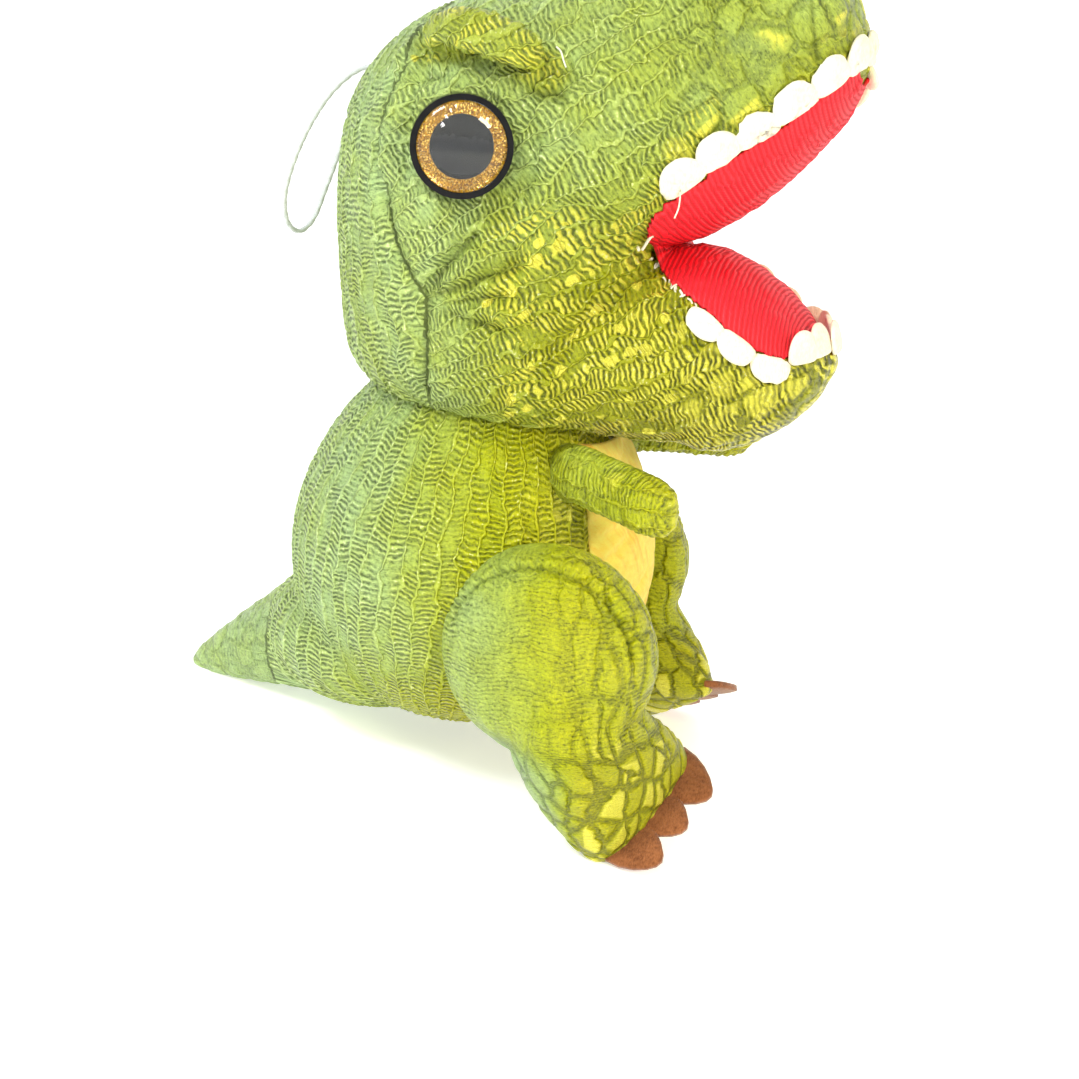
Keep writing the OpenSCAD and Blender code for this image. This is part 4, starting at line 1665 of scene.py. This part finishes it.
    def belly(self) -> bpy.types.Object:
        """Plush panel down the front, pointed at the bottom.

        Returns:
            The panel.
        """
        rows, cols = 120, 61
        high = np.linspace(*self.belly_span, rows)
        half = np.radians(8 + 24 * ease(high, 14, 62) + 3 * ease(high, 70, 92))
        u = np.linspace(-1, 1, cols)
        outline = spline(self.profile, 6)
        radius = np.interp(high, outline[:, 1], outline[:, 0])
        turn = half[:, None] * u[None, :]
        rng = np.random.default_rng(self.belly_seed)
        lift = np.repeat(1.0 + 1.6 * (1 - u ** 6)[None, :], rows, 0)
        for _ in range(self.belly_folds):
            at, slope, depth_mm = rng.uniform(20, 95), rng.uniform(0.25, 0.6), rng.uniform(0.7, 1.3)
            away = high[:, None] - at - slope * radius[:, None] * np.sin(turn)
            lift -= depth_mm * np.exp(-(away / 1.6) ** 2) * ease(u, 1, -0.4)[None, :]
        x = (radius[:, None] + lift) * np.sin(turn)
        depth = -(radius[:, None] + lift) * np.cos(turn)
        flat = self.axis_point(x, depth, np.repeat(high[:, None], cols, 1)).reshape(-1, 3)
        obj = new_mesh_object("belly_plush_panel", stand(flat), grid_faces(rows, cols))
        set_vectors(obj, "flow", np.stack([x.ravel(), np.repeat(high, cols), np.zeros(rows * cols)], 1))
        thicken(obj, self.belly_thick, -1)
        dress(obj, Plush())
        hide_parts("belly_panel")
        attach(obj, "torso")
        return obj


@dataclass
class Leg:
    """Stuffed thigh and foot as one skin, with three felt claws."""

    side: Side
    hip: tuple = (-37, -34, 53)
    thigh_r: float = 28
    thigh_out: float = 20
    # How far back the left leg sits, and how far its foot is turned out
    back: float = 11
    foot_turn: float = 20
    # The arc sewn round the thigh: its radius, its depth outwards and its angles
    arc_r: float = 24
    arc_out: float = 12
    arc_span: tuple = (20, 175, 10)
    # Foot sections from ankle to toes, as [x, y, z, half width, half height]
    foot_rows: tuple = (
        (-44, -36, 44, 15, 13), (-44, -39, 38, 16.5, 14), (-44, -42, 33, 17.5, 14),
        (-41.5, -46, 26, 18.5, 14), (-38, -50.5, 19.5, 20, 12.5), (-35.5, -54.5, 14, 20.5, 9.5),
        (-34, -57.5, 10.5, 19.5, 6), (-33.5, -58.3, 9.2, 18.5, 3.5))
    foot_wide: tuple = (0.81, -0.36, 0.47)
    foot_along: tuple = (10, -15.5, -22.5)
    claw_len: float = 13.5
    claw_w: float = 16.5
    claw_shifts: tuple = (-11.5, 0, 11.5)
    voxel: float = 0.75
    smoothing: int = 14
    fabric: Crinkle = Crinkle("crinkle_leg", gap=7, scale_len=17, scale_wide=5.6, jitter=0.6,
                              wrinkle_high=0.2, pitch=1.2, rib_share=0.25, crack_dark=0.55)

    @property
    def body(self) -> str:
        """Name of the CAD body that the leg rides on."""
        return f"{self.side.name.lower()}_leg"

    def _side(self, p: np.ndarray) -> np.ndarray:
        """Takes right-leg points to this leg's side.

        Args:
            p: Upright points in millimetres.

        Returns:
            The points on this side.
        """
        if self.side is Side.RIGHT:
            return p
        return p * (-1, 1, 1) + (0, self.back, 0.15 * self.back)

    def _turned(self, p: np.ndarray) -> np.ndarray:
        """Turns foot points out about the ankle, on the left leg only.

        Args:
            p: Upright points in millimetres.

        Returns:
            The turned points.
        """
        if self.side is Side.RIGHT:
            return p
        ankle = np.array(self.foot_rows[2][0:3])
        a = math.radians(-self.foot_turn)
        rel = p - ankle
        return ankle + np.stack([rel[:, 0] * math.cos(a) - rel[:, 1] * math.sin(a),
                                 rel[:, 0] * math.sin(a) + rel[:, 1] * math.cos(a), rel[:, 2]], 1)

    def _thigh(self) -> Shape:
        """Turned, crowned pillow that stands out sideways.

        Returns:
            The closed shell.
        """
        t = round_angles(72)
        rings = []
        outline = [(self.thigh_r - 2.5, -3), (self.thigh_r - 1.2, 0)]
        for k in range(15):
            a = math.pi / 2 * k / 15
            outline.append((self.thigh_r * math.cos(a) ** 0.62,
                            2 + (self.thigh_out - 2) * math.sin(a) ** 0.95))
        outline.append((0.8, self.thigh_out))
        for r, out in outline:
            rings.append(np.stack([np.full(72, self.hip[0] - out), self.hip[1] + r * np.cos(t),
                                   self.hip[2] + r * np.sin(t)], 1))
        return loft(np.array(rings))

    def _foot(self) -> Shape:
        """Foot from inside the thigh to the toe seam.

        Returns:
            The closed shell.
        """
        wide, ahead = unit(self.foot_wide), unit(self.foot_along)
        up = unit(np.cross(ahead, wide))
        t = round_angles(72)
        rings = []
        for row in spline(self.foot_rows, 5):
            rings.append(row[0:3] + row[3] * power(np.cos(t), 0.85)[:, None] * wide
                         + row[4] * power(np.sin(t), 0.85)[:, None] * up)
        rings = np.array(rings)
        return loft(self._turned(rings.reshape(-1, 3)).reshape(rings.shape))

    def skin(self) -> bpy.types.Object:
        """Welds thigh and foot and dresses them.

        Returns:
            The skin.
        """
        obj = weld(f"{self.body}_cloth", [self._thigh(), self._foot()], self.voxel, self.smoothing)
        p, n = read_points(obj), read_normals(obj)
        sewn = np.zeros(len(p))
        flow, zone, scaly = self._pattern(p)
        arc = [(self.hip[0] - self.arc_out, self.hip[1] + self.arc_r * math.cos(a),
                self.hip[2] + self.arc_r * math.sin(a)) for a in np.radians(np.arange(*self.arc_span))]
        sew(p, n, sewn, Seam(laid_on(tree_of(obj), arc, 2), depth=1.5, width=1.2, pucker=0.55,
                             reach=3.6, pitch=2.3, line=0.4), False)
        p = self._side(p)
        settle(p)
        write_points(obj, p)
        if self.side is Side.LEFT:
            obj.data.flip_normals()
        finish_skin(obj, flow, zone, sewn, scaly, self.fabric)
        p = read_points(obj)
        settle(p)
        write_points(obj, p)
        side = self.side.name.lower()
        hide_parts(*(f"{side}_{part}_{layer}" for part in ("thigh", "foot")
                           for layer in ("skin", "stuffing")))
        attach(obj, self.body)
        return obj

    def _pattern(self, p: np.ndarray) -> tuple:
        """Long cells down the thigh, short scales on the foot.

        Args:
            p: Upright points in millimetres.

        Returns:
            The flow vectors, the zone vectors and the strength of the scales.
        """
        low = ease(p[:, 2], 36, 26)
        z = p[:, 2]
        squeezed = np.where(z < 34, 34 + (z - 34) * 1.9, z)
        flow = np.stack([squeezed, p[:, 1] * (1 - 0.1 * low), p[:, 0]], 1)
        front = ease(p[:, 1], -36, -56)
        foil = 0.22 * front * ease(z, 72, 55) + 0.55 * low * ease(p[:, 1], -44, -52)
        # Tone from mint at the back to lime at the front, less at the toes, partly painted light
        tone = 0.22 + 0.62 * ease(p[:, 1], -16, -46) + 0.15 * low - 0.75 * ease(p[:, 1], -50, -38) * low
        wrinkly = 0.42 - 0.25 * low + 0.4 * ease(p[:, 1], -24, -10)
        scaly = np.clip(0.3 + 0.45 * front + 0.6 * low, 0, 1)
        return flow, np.stack([wrinkly, foil, tone], 1), scaly

    def claws(self) -> bpy.types.Object:
        """Three flat felt claws sewn into the toe seam.

        Returns:
            The claws.
        """
        out = unit((-0.25, -0.96, -0.1))
        wide, ahead = unit(self.foot_wide), unit(self.foot_along)
        up_foot = unit(np.cross(ahead, wide))
        across = unit(wide - (wide @ out) * out)
        up = np.cross(across, out)
        seam = np.array(self.foot_rows[6][0:3])
        shapes = []
        for shift in self.claw_shifts:
            root = seam + shift * wide + 0.8 * ahead + 1.5 * up_foot + np.array([0, 2.0, 3.0])
            shapes.append(self._claw(root, across, out, up))
        obj = joined(f"{self.body}_claw_felt", shapes)
        outward(obj)
        p = self._side(self._turned(read_points(obj)))
        settle(p)
        write_points(obj, p)
        if self.side is Side.LEFT:
            obj.data.flip_normals()
        dress(obj, CLAW_FELT)
        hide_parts(f"{self.side.name.lower()}_claws")
        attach(obj, self.body)
        return obj

    def _claw(self, root: np.ndarray, across: np.ndarray, out: np.ndarray, up: np.ndarray) -> Shape:
        """One fin of doubled felt: a convex edge above, a straight one below.

        Args:
            root: Middle of its sewn edge.
            across: Direction of the sewn edge.
            out: Direction of the tip.
            up: Direction of the fin's upper face.

        Returns:
            The closed shell.
        """
        half_thick, a = 1.3, round_angles(20)
        x, y = np.cos(a), np.sin(a)
        front = np.maximum(y, 0)
        reach = np.where(y > 0, self.claw_len, 2.5)
        half = self.claw_w / 2 * (1 - 0.25 * front ** 2)
        lower, upper = [], []
        for share, crown in ((0.05, 0.05), (0.35, 0.35), (0.65, 0.65), (0.88, 0.88), (1.0, 0.97)):
            high = half_thick * math.sqrt(1 - crown ** 4) + 0.25
            wide = (x * half * share - 0.35 * self.claw_w / 2 * front * share)[:, None] * across
            flat = root + wide + (y * reach * share + 1)[:, None] * out
            lower.append(flat + (half_thick - high) * up)
            upper.append(flat + (half_thick + high) * up)
        return loft(np.array(lower + upper[::-1]))


@dataclass
class Arm:
    """Short flat arm with a blunt end."""

    side: Side
    shoulder: tuple = (-30, -37, 97)
    length: float = 34
    half: float = 7.5
    thick: float = 5
    turn: float = math.radians(-32)
    dip: float = math.radians(97)
    fabric: Crinkle = Crinkle("crinkle_arm", gap=4.2, wrinkle_high=0.3)

    def skin(self) -> bpy.types.Object:
        """Sweeps the arm, sews the line along its edge and dresses it.

        Returns:
            The skin.
        """
        t = round_angles(40)
        place = Matrix.Translation(self.shoulder) @ Matrix.Rotation(self.turn, 4, "Z") \
            @ Matrix.Rotation(self.dip, 4, "X") @ Matrix.Translation((0, 0, 2))
        m = np.array(place)
        rings = []
        for s in np.concatenate([np.linspace(-0.5, 0.75, 24), [0.8, 0.85, 0.9, 0.94, 0.97, 0.99]]):
            a = self.half * (math.sqrt(max(1 - ((s - 0.8) / 0.21) ** 2, 0)) if s > 0.8 else 1)
            b = self.thick * (math.sqrt(max(1 - ((s - 0.68) / 0.33) ** 2, 0)) if s > 0.68 else 1)
            ring = np.stack([b * np.cos(t), a * np.sin(t), np.full(40, max(s, -0.2) * self.length)], 1)
            inwards = 34 * max(-s, 0)
            rings.append(ring @ m[:3, :3].T + m[:3, 3] + (inwards, inwards * 0.3, -inwards * 0.45))
        obj = weld(f"{self.side.name.lower()}_arm_cloth", [loft(np.array(rings))], 0.7, 6)
        p, n = read_points(obj), read_normals(obj)
        local = (p - m[:3, 3]) @ m[:3, :3]
        flow = np.stack([local[:, 2], local[:, 1], local[:, 0]], 1)
        # The zone's third number is the tone, partly painted light as on the other skins
        zone = np.stack([np.full(len(p), 0.6), np.full(len(p), 0.12),
                         np.full(len(p), 0.55) + 0.25 * ease(local[:, 2], 10, 30)], 1)
        sewn = np.zeros(len(p))
        for (x, y), depth, width in (((self.thick * 0.95, 0), 0.9, 1.2), ((0, -self.half), 0.6, 1.0)):
            line = np.array([(x, y, z) for z in np.linspace(0, self.length * 0.92, 8)])
            seam = tuple(map(tuple, line @ m[:3, :3].T + m[:3, 3]))
            sew(p, n, sewn, Seam(seam, depth=depth, width=width, pucker=0.2, pitch=2.4), False)
        if self.side is Side.LEFT:
            p = p * (-1, 1, 1)
        write_points(obj, p)
        if self.side is Side.LEFT:
            obj.data.flip_normals()
        finish_skin(obj, flow, zone, sewn, np.full(len(p), 0.35), self.fabric)
        side = self.side.name.lower()
        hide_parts(f"{side}_arm_skin", f"{side}_arm_stuffing")
        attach(obj, f"{side}_arm")
        return obj


def lip_on_skin(lip: tuple, tree: BVHTree) -> np.ndarray:
    """Finds the right lip line on the skin, from the mouth corner to the middle of the tip.

    Args:
        lip: The lip in the side view, as [y, z].
        tree: Search tree of the skin.

    Returns:
        Upright points in millimetres.
    """
    line = []
    for y, z in spline(lip, 12):
        best = None
        for x in np.linspace(-45, 0, 91):
            near, _, _, _ = tree.find_nearest(Vector(stand([(x, y, z)])[0]))
            q = upright(np.array([near[:]]))[0]
            miss = np.linalg.norm(q - (x, y, z))
            if best is None or miss < best[0]:
                best = (miss, q)
        line.append(best[1])
    return np.array(line)


@dataclass
class Teeth:
    """Felt scallops sewn along both lips and laid back over the skin."""

    head: Head
    width: float = 11.0
    high: float = 8.6
    thick: float = 1.3
    hem: float = 2.2
    count: int = 28
    # Points of each lip line that are left bare at the mouth corner
    upper_bare: int = 28
    lower_bare: int = 34

    def _tooth(self, base: np.ndarray, along: np.ndarray, up: np.ndarray, tree: BVHTree,
               size: tuple, flare: float, stuck: bool) -> Shape:
        """One scallop laid on the skin.

        Args:
            base: Middle of its sewn edge.
            along: Direction of the sewn edge.
            up: Direction of its tip.
            tree: Search tree of the skin under it.
            size: Its width and height.
            flare: Height of the tip over the skin.
            stuck: Whether the scallop follows the skin.

        Returns:
            The closed shell.
        """
        w, h = size
        angle = round_angles(self.count)
        y = np.sin(angle)
        shares = (0.04, 0.35, 0.66, 0.88, 0.985)
        layers = []
        for top in (False, True):
            for share in (shares if not top else shares[::-1]):
                u = w / 2 * power(np.cos(angle), np.where(y > 0, 0.95, 0.55)) * share
                v = np.where(y > 0, (h - self.hem) * power(y, 0.95), self.hem * power(y, 0.55)) * share + 1.4
                flat = base + u[:, None] * along + v[:, None] * up
                lift = 0.25 + flare * ease(v, 1, h) + (
                    self.thick * math.sqrt(max(1 - share ** 6, 0)) + 0.15 if top else 0)
                if stuck:
                    layers.append(snapped(tree, flat, lift))
                else:
                    normal = np.cross(along, up)
                    layers.append(flat + lift[:, None] * normal)
        return loft(np.array(layers))

    def build_upper(self, tree: BVHTree) -> bpy.types.Object:
        """Upper row: laid up over the skin on the right, hanging down on the left near the tip."""
        line = lip_on_skin(self.head.upper_lip, tree)[self.upper_bare:]
        return self._row("upper_teeth_felt", line, tree, "head", "upper_teeth", 1)

    def build_lower(self, tree: BVHTree) -> bpy.types.Object:
        """Lower row: folded out near the corner, standing up at the front and on the left."""
        line = lip_on_skin(self.head.lower_lip, tree)[self.lower_bare:]
        return self._row("lower_teeth_felt", line, tree, "jaw", "lower_teeth", -1)

    @staticmethod
    def _pose(k: int, sign: int, way: int, count: int) -> tuple:
        """How a scallop is folded.

        Args:
            k: Its number from the mouth corner.
            sign: 1 on the right side, -1 on the left.
            way: 1 for the upper row, -1 for the lower.
            count: Scallops a side.

        Returns:
            Whether it lies on the skin, its share of height out of the mouth's side, and its share out.
        """
        if way > 0:
            hangs = sign < 0 and k >= count - 3
            return (False, -0.75, 0.65) if hangs else (True, 1.0, 0.0)
        if sign < 0 or k >= count - 2:
            return False, 0.9, 0.45
        return True, -1.0, 0.0

    def _row(self, name: str, line: np.ndarray, tree: BVHTree, body: str, node: str,
             way: int) -> bpy.types.Object:
        """Lays a row of scallops along a lip, on both sides and over the tip.

        Args:
            name: Name of the piece.
            line: The lip from its first tooth to the tip.
            tree: Search tree of the head skin.
            body: The body that the row rides on.
            node: The CAD node that it replaces.
            way: 1 for the upper row, -1 for the lower.

        Returns:
            The row.
        """
        line = np.vstack([line, [(0, line[-1, 1] - 0.4, line[-1, 2])]])
        run = run_along(line)
        count = max(3, round(run[-1] / self.width))
        pitch = run[-1] / (count + 0.5)
        shapes = []
        for k in range(count + 1):
            base, near, far = (np.array([np.interp(pitch * (k + 0.5) + d, run, line[:, i])
                                         for i in range(3)]) for d in (0, 2, -2))
            along = unit(near - far) if k < count else np.array([1.0, 0, 0])
            _, normal, _, _ = tree.find_nearest(Vector(stand([base])[0]))
            n = upright(np.array([normal[:]]) * MM + stand([(0, 0, 0)])[0])[0]
            up = unit(np.cross(n, along))
            up = up if up[2] > 0 else -up
            for sign in (1, -1) if k < count else (1,):
                stuck, high, out = self._pose(k, sign, way, count)
                size = (pitch * 1.14, self.high * (1 if high > 0 else 0.75))
                tip = unit(up * high + unit(n) * out)
                flare = 0.5 + 0.45 * (k % 2) if stuck else 0.0
                tooth = self._tooth(base, along, tip, tree, size, flare, stuck)
                shapes.append(tooth if sign > 0 else tooth.mirrored())
        obj = joined(name, shapes)
        outward(obj)
        dress(obj, TOOTH_FELT)
        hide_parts(node)
        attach(obj, body)
        return obj


@dataclass
class Threads:
    """Loose thread ends: stitches at the mouth corners, bits along the lower lip, two long strays."""

    head: Head
    thick: float = 0.32
    bits: int = 26
    seed: int = 11

    @staticmethod
    def _tube(path: np.ndarray, radius: float) -> Shape:
        """Round thread along a path.

        Args:
            path: Points of the path.
            radius: Radius in millimetres.

        Returns:
            The closed shell.
        """
        line = spline(path, 5)
        ahead = unit(np.gradient(line, axis=0))
        side = unit(np.cross(ahead, (0.31, 0.2, 0.93)))
        t = round_angles(7)
        return loft(np.array([p + radius * (np.cos(t)[:, None] * a + np.sin(t)[:, None] * b)
                              for p, a, b in zip(line, side, np.cross(ahead, side))]))

    def strays(self, tree: BVHTree) -> bpy.types.Object:
        """Stitches at both mouth corners and two stray ends, on the head.

        Args:
            tree: Search tree of the head skin.

        Returns:
            The threads.
        """
        corner = [snapped(tree, np.array(route), 0.9) for route in (
            ((-25.5, -53.5, 150.6), (-26, -53.4, 151.6), (-25.8, -53.7, 152.6)),
            ((-25, -55.2, 151.2), (-25.3, -55.1, 152.2), (-25.1, -55.5, 153.2)))]
        stray = [((-30.2, -62.0, 167.5), (-31.5, -63.0, 166.0), (-31.0, -62.6, 162.5), (-31.8, -61.8, 160)),
                 ((-42.0, -36.0, 198.5), (-43.5, -37.5, 197.5), (-43.9, -38.3, 195.5), (-43.6, -38.8, 194))]
        shapes = [self._tube(np.array(c), self.thick * 1.2) for c in corner]
        shapes += [s.mirrored() for s in shapes]
        shapes += [self._tube(np.array(c), self.thick * 0.6) for c in stray]
        return self._finish(joined("loose_threads", shapes), "head")

    def frayed(self, tree: BVHTree) -> bpy.types.Object:
        """Short ends that stand out of the lower lip's seam, set by one tree of instances.

        Args:
            tree: Search tree of the head skin.

        Returns:
            The threads.
        """
        lip = lip_on_skin(self.head.lower_lip, tree)[2:44]
        rng = np.random.default_rng(self.seed)
        spots = lip[rng.integers(0, len(lip), self.bits)] + rng.normal(0, 0.35, (self.bits, 3))
        both = np.vstack([spots, spots * (-1, 1, 1)])
        carrier = new_mesh_object("lip_threads", stand(both), [])
        bit = self._tube(np.array([(0, 0, -0.9), (0.25, 0, 0), (0, 0.2, 0.9)]), self.thick * 0.7)
        source = new_mesh_object("thread_bit", bit.points * MM, bit.faces)
        scatter = bpy.data.node_groups.new("thread_scatter", "GeometryNodeTree")
        face = scatter.interface
        face.new_socket("Points", in_out="INPUT", socket_type="NodeSocketGeometry")
        seed = face.new_socket("Seed", in_out="INPUT", socket_type="NodeSocketInt")
        shape = face.new_socket("Bit", in_out="INPUT", socket_type="NodeSocketObject")
        finish = face.new_socket("Finish", in_out="INPUT", socket_type="NodeSocketMaterial")
        face.new_socket("Points", in_out="OUTPUT", socket_type="NodeSocketGeometry")
        net = Net(scatter)
        given = net.node("NodeGroupInput")
        info = net.node("GeometryNodeObjectInfo", None, {"Object": given.outputs[2]})
        turn = net.node("FunctionNodeRandomValue", {"data_type": "FLOAT_VECTOR"},
                        {0: (-0.9, -0.9, -3.1), 1: (0.9, 0.9, 3.1), "Seed": given.outputs[1]})
        placed = net.node("GeometryNodeInstanceOnPoints", None, {
            "Points": given.outputs[0], "Instance": info.outputs["Geometry"], "Rotation": turn.outputs[0]})
        real = net.node("GeometryNodeRealizeInstances", None, {0: placed.outputs[0]})
        dyed = net.node("GeometryNodeSetMaterial", None, {0: real.outputs[0], "Material": given.outputs[3]})
        done = net.node("NodeGroupOutput")
        net.tree.links.new(dyed.outputs[0], done.inputs[0])
        modifier = carrier.modifiers.new("Scatter", "NODES")
        modifier.node_group = scatter
        modifier[seed.identifier] = self.seed
        modifier[shape.identifier] = source
        modifier[finish.identifier] = material_of(COTTON)
        freeze(carrier)
        bpy.data.objects.remove(source)
        return self._finish(carrier, "jaw")

    @staticmethod
    def _finish(obj: bpy.types.Object, body: str) -> bpy.types.Object:
        """Dresses a piece of thread and puts it on a body.

        Args:
            obj: The piece.
            body: The body.

        Returns:
            The piece.
        """
        dress(obj, COTTON)
        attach(obj, body)
        return obj


@dataclass
class Eyes:
    """Moulded safety eyes carried over from the frame."""

    black: Moulded = Moulded("eye_black", (0.003, 0.003, 0.004), 0.2, 0.12)
    pupil: Moulded = Moulded("eye_pupil_print", (0.006, 0.008, 0.012), 0.35, 0.05)
    washer: Moulded = Moulded("washer_white", (0.8, 0.8, 0.78), 0.4)

    def build(self) -> None:
        """Dresses every part of both eyes."""
        parts = (("back", self.black), ("iris", Glitter()), ("pupil", self.pupil),
                 ("dome", ClearCap()), ("washer", self.washer))
        for side in Side:
            for part, finish in parts:
                dress(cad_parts[f"{side.name.lower()}_eye_{part}"], finish)


def main() -> None:
    """Builds the toy piece by piece and reports each."""
    logging.basicConfig(level=logging.INFO, format="%(message)s")
    Studio().build()
    LOG.info("cord %s", HangLoop().build().name)
    head = Head()
    head_cloth = head.skin()
    head_tree = tree_of(head_cloth)
    lining = head.lining(head_tree)
    teeth = Teeth(head)
    LOG.info("teeth %s", teeth.build_upper(head_tree).name)
    LOG.info("teeth %s", teeth.build_lower(head_tree).name)
    threads = Threads(head)
    LOG.info("threads %s", threads.strays(head_tree).name)
    LOG.info("threads %s", threads.frayed(head_tree).name)
    for piece in (head_cloth, lining):
        head.jaw_blend(piece)
        LOG.info("head %s", piece.name)
    Eyes().build()
    body = Body()
    body_cloth = body.skin()
    LOG.info("belly %s", body.belly().name)
    body.tail_blend(body_cloth)
    for side in Side:
        leg = Leg(side)
        LOG.info("leg %s", leg.skin().name)
        LOG.info("claws %s", leg.claws().name)
        LOG.info("arm %s", Arm(side).skin().name)
    dress(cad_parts["bean_pouch"], BEAN_BAG)


if __name__ == "__main__":
    main()
